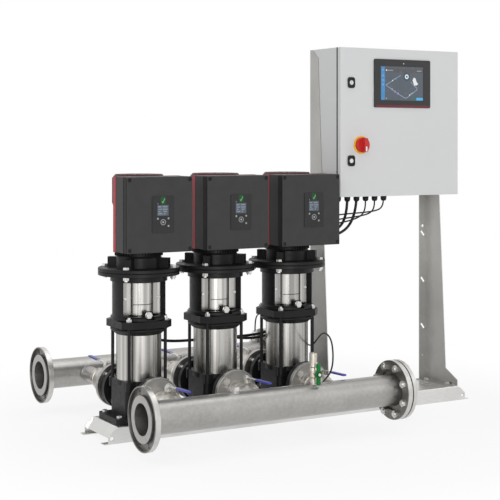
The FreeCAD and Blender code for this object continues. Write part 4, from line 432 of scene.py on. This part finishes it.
FINISHES = {
    "frame_zinc": sheet_steel("frame_zinc", (0.68, 0.675, 0.66), (0.04, 1, 1), 0.26),
    "post_steel": sheet_steel("post_steel", (0.42, 0.415, 0.40), (1, 1, 0.04), 0.38),
    "cabinet_paint": powder_coat("cabinet_paint", (0.66, 0.665, 0.67)),
    "hinge_steel": plated("hinge_steel", (0.6, 0.6, 0.6)),
    "seal_rubber": rubbery("seal_rubber"),
    "panel_plastic": moulded("panel_plastic", (0.028, 0.028, 0.028), 0.36, gloss=0.3),
    "switch_yellow": moulded("switch_yellow", (0.84, 0.50, 0.02), 0.32),
    "switch_red": moulded("switch_red", (0.55, 0.014, 0.014), 0.26),
    "lock_black": moulded("lock_black", (0.008, 0.008, 0.009), 0.36, gloss=0.25),
    "lock_metal": plated("lock_metal", (0.72, 0.72, 0.71), 0.22),
    "plate_zinc": sheet_steel("plate_zinc", (0.62, 0.62, 0.60), (0.04, 1, 1), 0.42),
    "module_plastic": moulded("module_plastic", (0.42, 0.43, 0.44), 0.5),
    "gland_plastic": moulded("gland_plastic", (0.007, 0.007, 0.008), 0.42, gloss=0.25),
    "cable_sheath": rubbery("cable_sheath", (0.006, 0.006, 0.006), 0.36, 0.25),
    "manifold_steel": manifold_steel(),
    "flange_steel": flange_steel(),
    "gasket_rubber": rubbery("gasket_rubber", (0.004, 0.004, 0.004)),
    "bolt_steel": plated("bolt_steel", (0.68, 0.67, 0.65)),
    "valve_nickel": plated("valve_nickel", (0.55, 0.53, 0.49), 0.34),
    "lever_blue": moulded("lever_blue", (0.050, 0.055, 0.40), 0.30),
    "valve_brass": plated("valve_brass", (0.60, 0.56, 0.50), 0.32),
    "handle_green": moulded("handle_green", (0.002, 0.17, 0.028), 0.26, gloss=0.25),
    "hub_green": moulded("hub_green", (0.002, 0.055, 0.014), 0.30, gloss=0.25),
    "sensor_steel": plated("sensor_steel", (0.66, 0.66, 0.64), 0.25),
    "pump_black": cast_black(),
    "sleeve_steel": brushed_sleeve(),
    "shaft_steel": plated("shaft_steel", (0.55, 0.55, 0.54), 0.28),
    "drive_grey": powder_coat("drive_grey", (0.034, 0.033, 0.034), 0.42, 0.22),
    "drive_dark": moulded("drive_dark", (0.038, 0.038, 0.039), 0.42, gloss=0.25),
    "hmi_plastic": moulded("hmi_plastic", (0.026, 0.026, 0.027), 0.34, gloss=0.25),
    # Near-black copy of the drive plastic: painted shade on the covers' upright sides.
    "drive_side_shade": moulded("drive_side_shade", (0.009, 0.008, 0.009), 0.38, gloss=0.12),
    "band_red": moulded("band_red", (0.42, 0.022, 0.040), 0.34, gloss=0.35),
    # Darker copy of the flange steel for the loose flanges: partly their darker steel, partly painted
    # shade.
    "flange_dark_and_shade": flange_steel("flange_dark_and_shade", (0.20, 0.195, 0.185)),
    # Near-black steel: painted shade of the guards' pressed lines.
    "seam_shade": plated("seam_shade", (0.045, 0.045, 0.043), 0.40),
    "rim_steel": flange_steel("rim_steel", (0.60, 0.59, 0.57)),
    # Dark red: the fan covers' red band, and painted shade on the upward faces of the drives' red bands.
    "red_cap_and_band_shade": moulded("red_cap_and_band_shade", (0.070, 0.012, 0.016), 0.40, gloss=0.25),
    "strip_steel": plated("strip_steel", (0.60, 0.59, 0.57), 0.32),
    "screw_white": moulded("screw_white", (0.74, 0.74, 0.72), 0.38),
    "weld_steel": weld_steel(),
    "screen_glass": lit("screen_glass", (0.098, 0.118, 0.142), gloss=0.35),
    "header_glass": lit("header_glass", (0.105, 0.100, 0.108)),
    "bar_blue": lit("bar_blue", (0.070, 0.270, 0.560), 0.05),
    "button_blue": lit("button_blue", (0.080, 0.440, 0.770), 0.10),
    "button_teal": lit("button_teal", (0.020, 0.170, 0.190)),
    "line_blue": lit("line_blue", (0.300, 0.400, 0.540), 0.05),
    "row_grey": lit("row_grey", (0.210, 0.250, 0.310)),
    "mark_lilac": lit("mark_lilac", (0.330, 0.300, 0.520), 0.05),
    "mark_green": lit("mark_green", (0.120, 0.150, 0.120)),
    # Faint glow: lit marks on the screens; on the switch knob's pointer it is painted light.
    "mark_white": lit("mark_white", (0.780, 0.790, 0.800), 0.10),
    "mark_grey": lit("mark_grey", (0.340, 0.350, 0.360)),
    "halo_blue": lit("halo_blue", (0.040, 0.090, 0.140)),
    "strip_red": moulded("strip_red", (0.190, 0.016, 0.034), 0.34, gloss=0.3),
    "sign_green": lit("sign_green", (0.012, 0.080, 0.022)),
    "tick_green": lit("tick_green", (0.180, 0.420, 0.170), 0.04),
}


def dress_nodes():
    """Every node of the frame in the finish of its slot."""
    for part in frame["record"]["subparts"]:
        node = NODES[part["node"]]
        node.data.materials.clear()
        node.data.materials.append(FINISHES[part["material_slot"]].material)
        for face in node.data.polygons:
            face.material_index = 0


# Places on the nodes, in millimetres, as the solids have them
PUMP_X = {1: -639.0, 2: -319.0, 3: 1.0}
PANEL_CORNER = (341.0, 1211.0)
PANEL_FACE = -114.0
PANEL_SCREEN = -112.8
HMI_LEFT = -32.0
HMI_LOW = 749.0
HMI_FACE = -180.5
HMI_SCREEN = -179.7
SWITCH_CENTRE = (279.0, 1061.0)
LOCK_X = 231.5
LOCK_HEIGHTS = {"upper": 1307.0, "lower": 998.5}
DRIVE_HALF = 130.0
DRIVE_TOP = 949.0
BAND_REAR, BAND_FRONT = -62.0, -83.0
COVER_SCREWS = [(x, z) for x in (-119.0, 119.0) for z in (689.0, 938.0)]
COVER_SCREW_RADIUS = 7.2
COVER_SIDE_LEAN = 0.6
STAY_BOLT_BLACK_TOP = 422.5
LEVER_GRIP_START = 75.0
DISCHARGE_STEM_Y = -240.0
SUCTION_STEM_Y = 295.0
TANK_HANDLE = (-143.0, 242.0, -443.7)
TANK_HANDLE_LOBE = ((4.5, 38.0), (7.0, 35.5), (7.5, 30.0), (6.5, 22.0))
TANK_HUB_RADIUS = 14.0
TANK_HUB_TURNS = (62, 47, 31, 16, 0, -16, -31, -47, -62)
TANK_GRIP_FACE = (0.86, 0.965)
TANK_GRIP_THICK, TANK_GRIP_BEVEL = 9.6, 1.6
TANK_COLLAR_THICK, TANK_SCREW_THICK, TANK_STEM_LENGTH = 2.2, 2.4, 7.5
FLANGE_RIM_RADIUS = 108.5
FAN_COVER_BAND = 940.0
BOX_LEFT, BOX_RIGHT, BOX_LOW, BOX_TOP = 181.0, 768.0, 856.0, 1446.0
BOX_FRONT = -86.0
DOOR_GAP = 4.0
GUARD_SEAM_HEIGHT = 480.0
GUARD_SEAM_HALF_ANGLE = 48.0
GUARD_SEAM_STEPS = 24
GUARD_SEAM_SECTION = ((53.0, -1.3), (53.4, -0.9), (53.4, 0.9), (53.0, 1.3))
DOOR_SHADE_DEPTH = 4.0
DOOR_SHADE_SHORT = 24.0
DISCHARGE_Y, SUCTION_Y, MANIFOLD_Z = -413.4, 531.5, 148.0
PIPE_RADIUS, BRANCH_RADIUS = 57.15, 30.15
WELD_ALONG_BRANCH = (-17.15, 4.5)
WELD_ROUND_BRANCH = (0.2, 2.8)


def from_pump(x):
    """A place along the row, from the axis of the nearest pump."""
    return min((x - at for at in PUMP_X.values()), key=abs)


def paint(node, finish, chosen):
    """Another finish for those faces of a node that chosen picks by middle and normal."""
    mesh = NODES[node].data
    mesh.materials.append(FINISHES[finish].material)
    index = len(mesh.materials) - 1
    for face in mesh.polygons:
        if chosen(face.center / MM, face.normal):
            face.material_index = index


def paint_nodes():
    for pump in PUMPS:
        paint(f"drive_box_{pump}", "band_red", on_drive_band)
        # Painted shade: the upward faces of each drive's red band get a dark copy of the red.
        paint(f"drive_box_{pump}", "red_cap_and_band_shade",
              lambda middle, normal: on_drive_band(middle, normal) and normal.z > 0.5)
        paint(f"discharge_lever_{pump}", "strip_steel",
              lambda middle, normal: middle.y > DISCHARGE_STEM_Y - LEVER_GRIP_START)
        paint(f"suction_lever_{pump}", "strip_steel",
              lambda middle, normal: middle.y < SUCTION_STEM_Y + LEVER_GRIP_START)
    # Painted shade: the covers' upright sides get a near-black copy of their dark plastic, for the shade
    # between neighbouring drives.
    paint("drive_covers", "drive_side_shade", lambda middle, normal: abs(normal.x) > COVER_SIDE_LEAN)
    paint("drive_covers", "lock_black", on_cover_screw)
    paint("stay_bolts", "pump_black", lambda middle, normal: middle.z < STAY_BOLT_BLACK_TOP)
    paint("fan_covers", "red_cap_and_band_shade",
          lambda middle, normal: middle.z > FAN_COVER_BAND and abs(normal.z) < 0.7)
    # The loose flanges in a darker copy of the flange steel: partly their own darker steel, partly painted
    # shade matching their shaded back faces.
    paint("loose_flanges", "flange_dark_and_shade", lambda middle, normal: True)
    for node in ("loose_flanges", "blind_flanges"):
        paint(node, "rim_steel", on_flange_rim)
    paint("touch_panel", "screen_glass",
          lambda middle, normal: normal.y < -0.9 and abs(middle.y - PANEL_SCREEN) < NEAR)
    paint("control_panels", "screen_glass",
          lambda middle, normal: normal.y < -0.9 and abs(middle.y - HMI_SCREEN) < NEAR)
    paint("discharge_manifold", "weld_steel", lambda middle, normal: on_weld(middle, DISCHARGE_Y))
    paint("suction_manifold", "weld_steel", lambda middle, normal: on_weld(middle, SUCTION_Y))


def on_drive_band(middle, normal):
    outside = abs(from_pump(middle.x)) > DRIVE_HALF + NEAR or middle.z > DRIVE_TOP + NEAR
    return BAND_FRONT - NEAR < middle.y < BAND_REAR + NEAR and outside


def on_flange_rim(middle, normal):
    """The turned outer edge of a manifold's flange."""
    out = min(math.hypot(middle.y - at, middle.z - MANIFOLD_Z) for at in (DISCHARGE_Y, SUCTION_Y))
    return out > FLANGE_RIM_RADIUS and abs(normal.x) < 0.5


def on_cover_screw(middle, normal):
    return any(math.hypot(from_pump(middle.x) - x, middle.z - z) < COVER_SCREW_RADIUS
               for x, z in COVER_SCREWS)


def on_weld(middle, manifold_y):
    """The ring of each branch where it meets the tube."""
    along = abs(middle.y - manifold_y) - PIPE_RADIUS
    over = math.hypot(from_pump(middle.x), middle.z - MANIFOLD_Z) - BRANCH_RADIUS
    return (WELD_ALONG_BRANCH[0] < along < WELD_ALONG_BRANCH[1]
            and WELD_ROUND_BRANCH[0] < over < WELD_ROUND_BRANCH[1])


# Flat raised shapes on the faces that look to the front
def disc(u, v, radius, steps=28):
    turns = [math.tau * step / steps for step in range(steps)]
    return [(u + radius * math.cos(turn), v + radius * math.sin(turn)) for turn in turns]


def rounded_box(left, low, right, high, radius, steps=5):
    points = []
    corners = ((right, high, 0), (left, high, 1), (left, low, 2), (right, low, 3))
    for u, v, quarter in corners:
        inner_u = u - radius if quarter in (0, 3) else u + radius
        inner_v = v - radius if quarter in (0, 1) else v + radius
        for step in range(steps + 1):
            turn = math.pi / 2 * (quarter + step / steps)
            points.append((inner_u + radius * math.cos(turn), inner_v + radius * math.sin(turn)))
    return points


def beside(points, distance):
    """An open line moved sideways, with mitred corners."""
    line = [Vector(point) for point in points]
    ways = [(after - before).normalized() for before, after in zip(line, line[1:])]
    moved = []
    for point, before, after in zip(line, ways[:1] + ways, ways + ways[-1:]):
        way = (before + after).normalized()
        stretch = max(0.5, way.dot(before))
        moved.append(point + Vector((-way.y, way.x)) * distance / stretch)
    return [tuple(point) for point in moved]


def stroke(points, width):
    return beside(points, width / 2) + beside(points, -width / 2)[::-1]


def walls(one, other):
    return [(one[at - 1], one[at], other[at], other[at - 1]) for at in range(len(one))]


class Picture:
    """Thin plates on an upright face that looks to -Y, gathered into one piece.

    Places are millimetres to the right of and above the given corner.
    """

    def __init__(self, left, low, face):
        self.corner = Vector((left, face, low))
        self.mesh = bmesh.new()
        self.finishes = []

    def loop(self, outline, height):
        return [self.mesh.verts.new((self.corner + Vector((u, -height, v))) * MM) for u, v in outline]

    def close(self, faces, finish):
        if finish not in self.finishes:
            self.finishes.append(finish)
        for face in faces:
            self.mesh.faces.new(face).material_index = self.finishes.index(finish)

    def plate(self, outline, finish, start=0.0, thick=0.15):
        back, front = self.loop(outline, start), self.loop(outline, start + thick)
        self.close([back, front[::-1]] + walls(back, front), finish)

    def ring(self, outer, inner, finish, start=0.0, thick=0.15):
        """A plate with a hole: both outlines have as many points."""
        loops = [self.loop(outline, height) for outline, height in
                 ((outer, start), (outer, start + thick), (inner, start + thick), (inner, start))]
        faces = [face for one, other in zip(loops, loops[1:] + loops[:1]) for face in walls(one, other)]
        self.close(faces, finish)

    def done(self, name, body):
        bmesh.ops.recalc_face_normals(self.mesh, faces=self.mesh.faces)
        mesh = bpy.data.meshes.new(name)
        self.mesh.to_mesh(mesh)
        self.mesh.free()
        piece = link(name, mesh, [FINISHES[finish].material for finish in self.finishes])
        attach(piece, body)
        return piece


def make_touch_picture():
    """The touch panel's display: a menu bar, a header, the plant's loop with its marks, and two keys."""
    art = Picture(*PANEL_CORNER, PANEL_SCREEN)
    art.plate(rounded_box(34, 31, 52, 164, 3), "bar_blue")
    for v in (151, 128, 110, 92):
        art.plate(disc(43, v, 3.2), "line_blue", 0.15)
    art.plate([(55, 142), (243, 142), (243, 158), (55, 158)], "header_glass")
    art.plate(disc(60, 150, 3.4), "mark_white", 0.15)
    for left, right, v, finish in ((66, 92, 150, "mark_grey"), (212, 236, 150, "mark_grey")):
        art.plate(rounded_box(left, v - 1.8, right, v + 1.8, 1.5), finish, 0.15)
    loop = [(131, 131), (57, 90), (118, 56), (148, 41), (155, 39), (163, 41), (212, 74), (213, 80),
            (206, 85), (181, 105)]
    art.plate(stroke(loop, 2.4), "line_blue")
    art.plate(disc(161, 126, 17, 40), "halo_blue")
    art.ring(disc(161, 126, 9.5), disc(161, 126, 4.5), "mark_white", 0.15)
    tank = [(190, 112), (197, 124), (206, 119), (211, 105), (219, 98), (212, 92), (199, 91)]
    art.plate(tank, "mark_white")
    for u, v in ((88, 74), (102, 65), (117, 57)):
        art.plate(disc(u, v, 4.4), "mark_lilac", 0.15)
        art.plate(rounded_box(u - 2.8, v + 6, u + 2.8, v + 17, 1.2), "mark_green")
    for u, v in ((90, 109), (175, 52)):
        art.plate(disc(u, v, 2.6), "mark_white", 0.15)
        art.plate([(u + 6, v + 1), (u + 6, v + 10), (u + 12, v + 7), (u + 18, v + 13), (u + 18, v + 4),
                   (u + 12, v + 7)], "line_blue", 0.15)
    art.plate(disc(59, 37, 3.4), "mark_grey")
    art.plate(rounded_box(194, 32, 210, 41, 1), "button_teal")
    art.plate(rounded_box(209, 31, 243, 41.5, 2), "button_blue", 0.05, 0.2)
    art.done("touch_picture", "door")


def make_bezel_marks():
    art = Picture(*PANEL_CORNER, PANEL_FACE)
    art.plate(rounded_box(9, 2.5, 274, 9.5, 2.5), "strip_red")
    art.plate(disc(144.5, 178, 2.2), "mark_white")
    art.done("bezel_marks", "door")


def make_drive_picture(pump):
    """A drive's display: a green sign, the screen's rows, and the keys below."""
    left = PUMP_X[pump] + HMI_LEFT
    art = Picture(left, HMI_LOW, HMI_FACE)
    middle = 43.0
    art.plate(rounded_box(middle - 9, 102, middle + 9, 129, 1.5), "sign_green")
    tick = [(middle - 5, 112), (middle - 1.5, 107.5), (middle + 6, 122)]
    art.plate(stroke(tick, 3.0), "tick_green", 0.15)
    for radius, inner in ((10.5, 8.2), (3.6, 1.4)):
        art.ring(disc(middle, 38, radius), disc(middle, 38, inner), "mark_grey")
    art.plate(disc(middle, 38, 1.2), "mark_white")
    for u, v in ((22, 51), (64, 51), (64, 24)):
        art.plate(disc(u, v, 3.6), "mark_grey")
    art.plate(disc(22, 104, 1.6), "mark_grey")
    art.done(f"drive_keys_{pump}", ROOT)
    rows = Picture(left, HMI_LOW, HMI_SCREEN)
    for v, spans in ((93, ((23, 36), (41, 60))), (84, ((24, 39), (42, 61))), (76, ((24, 32), (44, 58))),
                     (68, ((23, 40), (45, 52)))):
        for start, end in spans:
            rows.plate(rounded_box(start, v - 2.4, end, v + 2.4, 1.2), "row_grey")
    rows.done(f"drive_rows_{pump}", ROOT)


def make_switch_pointer():
    grip_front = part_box("main_switch_knob")[0][1] / MM
    art = Picture(*SWITCH_CENTRE, grip_front)
    # The pointer's white glows faintly though no lamp is in it: painted light.
    art.plate(rounded_box(-3.4, -25.5, 3.4, -6, 2.4), "mark_white", 0.0, 0.3)
    art.done("switch_pointer", "switch_knob")


def make_lock_rings():
    for side, height in LOCK_HEIGHTS.items():
        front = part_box(f"door_lock_{side}")[0][1] / MM
        art = Picture(LOCK_X, height, front)
        art.ring(disc(0, 0, 8.4), disc(0, 0, 5.2), "lock_metal", 0.0, 0.5)
        art.done(f"lock_ring_{side}", f"lock_{side}")


def make_door_gap_shade():
    """Painted shade: black strips in the rubber finish stand for the shadow in the gap between cabinet and
    door, on the three sides that have no hinges.
    """
    right = BOX_RIGHT - DOOR_SHADE_SHORT

    def edge(inset):
        left, low, top = BOX_LEFT + inset, BOX_LOW + inset, BOX_TOP - inset
        return [(right, top), (left, top), (left, low), (right, low)]
    art = Picture(0.0, 0.0, BOX_FRONT)
    # These strips are painted shade in the gap, not a rubber part.
    art.plate(edge(-0.3) + edge(5.0)[::-1], "seal_rubber", 0.1, DOOR_GAP - 0.4)
    art.plate(edge(-0.3) + edge(-0.02)[::-1], "seal_rubber", -DOOR_SHADE_DEPTH, DOOR_SHADE_DEPTH + 0.1)
    art.done("door_gap_shade", ROOT)


def make_guard_seams():
    """The pressed line round the lower third of each front coupling guard, drawn as a thin near-black
    strip: painted shade of the crease.
    """
    half_turn = math.radians(GUARD_SEAM_HALF_ANGLE)
    for pump in PUMPS:
        mesh = bmesh.new()
        sections = []
        for step in range(GUARD_SEAM_STEPS + 1):
            turn = -math.pi / 2 - half_turn + 2 * half_turn * step / GUARD_SEAM_STEPS
            way = Vector((math.cos(turn), math.sin(turn), 0))
            middle = Vector((PUMP_X[pump], 0, GUARD_SEAM_HEIGHT))
            sections.append([mesh.verts.new((middle + way * out + Vector((0, 0, rise))) * MM)
                             for out, rise in GUARD_SEAM_SECTION])
        for one, other in zip(sections, sections[1:]):
            for wall in walls(one, other):
                mesh.faces.new(wall)
        mesh.faces.new(sections[0])
        mesh.faces.new(sections[-1][::-1])
        bmesh.ops.recalc_face_normals(mesh, faces=mesh.faces)
        data = bpy.data.meshes.new(f"guard_seam_{pump}")
        mesh.to_mesh(data)
        mesh.free()
        piece = link(f"guard_seam_{pump}", data, [FINISHES["seam_shade"].material])
        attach(piece, ROOT)


def make_tank_handle():
    """The tank valve's handle: a hub between two lobes, with a dark collar and a pale screw."""
    side = list(TANK_HANDLE_LOBE)
    for turn in TANK_HUB_TURNS:
        angle = math.radians(turn)
        side.append((TANK_HUB_RADIUS * math.cos(angle), TANK_HUB_RADIUS * math.sin(angle)))
    side += [(u, -v) for u, v in reversed(TANK_HANDLE_LOBE)]
    edge = side + [(-u, v) for u, v in reversed(side)]
    face = [(u * TANK_GRIP_FACE[0], v * TANK_GRIP_FACE[1]) for u, v in edge]
    x, z, back = TANK_HANDLE
    art = Picture(x, z, back)
    loops = [art.loop(edge, 0.0), art.loop(edge, TANK_GRIP_THICK - TANK_GRIP_BEVEL),
             art.loop(face, TANK_GRIP_THICK)]
    art.close([loops[0], loops[2][::-1]] + walls(*loops[:2]) + walls(*loops[1:]), "handle_green")
    art.plate(disc(0, 0, 10.5), "hub_green", TANK_GRIP_THICK, TANK_COLLAR_THICK)
    art.plate(disc(0, 0, 5.5), "screw_white", TANK_GRIP_THICK + TANK_COLLAR_THICK, TANK_SCREW_THICK)
    art.plate(disc(0, 0, 4.0), "lock_metal", -TANK_STEM_LENGTH, TANK_STEM_LENGTH)
    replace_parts(art.done("tank_handle_grip", "tank_handle"), "tank_valve_handle")


# The leads' routes between the glands and the drives and sensors, in millimetres: curves near these
CABLE_ROUTES = {
    "power_cable_1": [
        (333, 0, 854), (333, 0, 810), (303, -8, 724), (170, -70, 698), (141, 94, 678), (99, 170, 646),
        (95, 173, 600), (97, 170, 450), (93, 173, 345), (21, 170, 298), (-139, 173, 295),
        (-299, 170, 298), (-449, 173, 296), (-555, 170, 338), (-558, 173, 450), (-556, 170, 600),
        (-551, 164, 690), (-517, 80, 718), (-527, 10, 718), (-527, -54, 718)],
    "power_cable_2": [
        (288, 0, 854), (288, 0, 810), (270, -8, 738), (170, -56, 712), (141, 80, 692), (85, 154, 660),
        (81, 157, 600), (83, 154, 450), (79, 157, 345), (21, 154, 287), (-129, 157, 285),
        (-235, 154, 327), (-238, 157, 450), (-236, 154, 600), (-231, 148, 690), (-197, 80, 718),
        (-207, 10, 718), (-207, -54, 718)],
    "power_cable_3": [
        (243, 0, 854), (243, 0, 810), (237, -8, 752), (170, -42, 726), (170, 34, 716),
        (141.5, 50.5, 716), (113, 34, 718), (113, -54, 718)],
    "discharge_sensor_cable": [
        (-60, -332.4, 166), (-60, -332.4, 188), (-31, -374, 214), (-31, -376, 318), (-28, -350, 358),
        (0, -262, 362), (44, -160, 322), (106, -20, 262), (128, 60, 262), (130, 150, 300), (119, 172, 400),
        (121, 176, 520), (119, 172, 630), (157, 96, 716), (172, -64, 748), (364, -20, 764),
        (378, 0, 810), (378, 0, 854)],
    "suction_sensor_cable": [
        (167, 531.5, 253), (167, 531.5, 313), (150, 470, 345), (135, 310, 330), (132, 212, 346),
        (127, 180, 408), (129, 184, 528), (127, 180, 638), (165, 104, 724), (176, -76, 770),
        (403, -28, 774), (423, 0, 810), (423, 0, 854)],
    "control_cable": [
        (468, 0, 854), (468, 0, 810), (438, -24, 786), (184, -58, 788), (172, 30, 756), (141, 56, 748),
        (113, 30, 748), (113, -54, 748)],
}
POWER_CABLE_RADIUS = 5.5
SIGNAL_CABLE_RADIUS = 3.0
CABLE_STEPS, CABLE_ROUND_STEPS = 10, 4


def make_cables():
    for name, route in CABLE_ROUTES.items():
        curve = bpy.data.curves.new(name, "CURVE")
        curve.dimensions = "3D"
        radius = POWER_CABLE_RADIUS if name.startswith("power") else SIGNAL_CABLE_RADIUS
        curve.bevel_depth = radius * MM
        curve.bevel_resolution = CABLE_ROUND_STEPS
        curve.resolution_u = CABLE_STEPS
        curve.use_fill_caps = True
        spline = curve.splines.new("NURBS")
        spline.points.add(len(route) - 1)
        for point, place in zip(spline.points, route):
            point.co = (*(Vector(place) * MM), 1)
        spline.order_u = 4
        spline.use_endpoint_u = True
        piece = link(name, curve, [FINISHES["cable_sheath"].material])
        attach(piece, ROOT)
        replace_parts(piece, "cables")


make_camera()
make_world()
make_floor()
make_lamps()
dress_nodes()
paint_nodes()
make_touch_picture()
make_bezel_marks()
for pump in PUMPS:
    make_drive_picture(pump)
make_switch_pointer()
make_lock_rings()
make_door_gap_shade()
make_tank_handle()
make_guard_seams()
make_cables()

bpy.context.scene.view_settings.view_transform = "Standard"
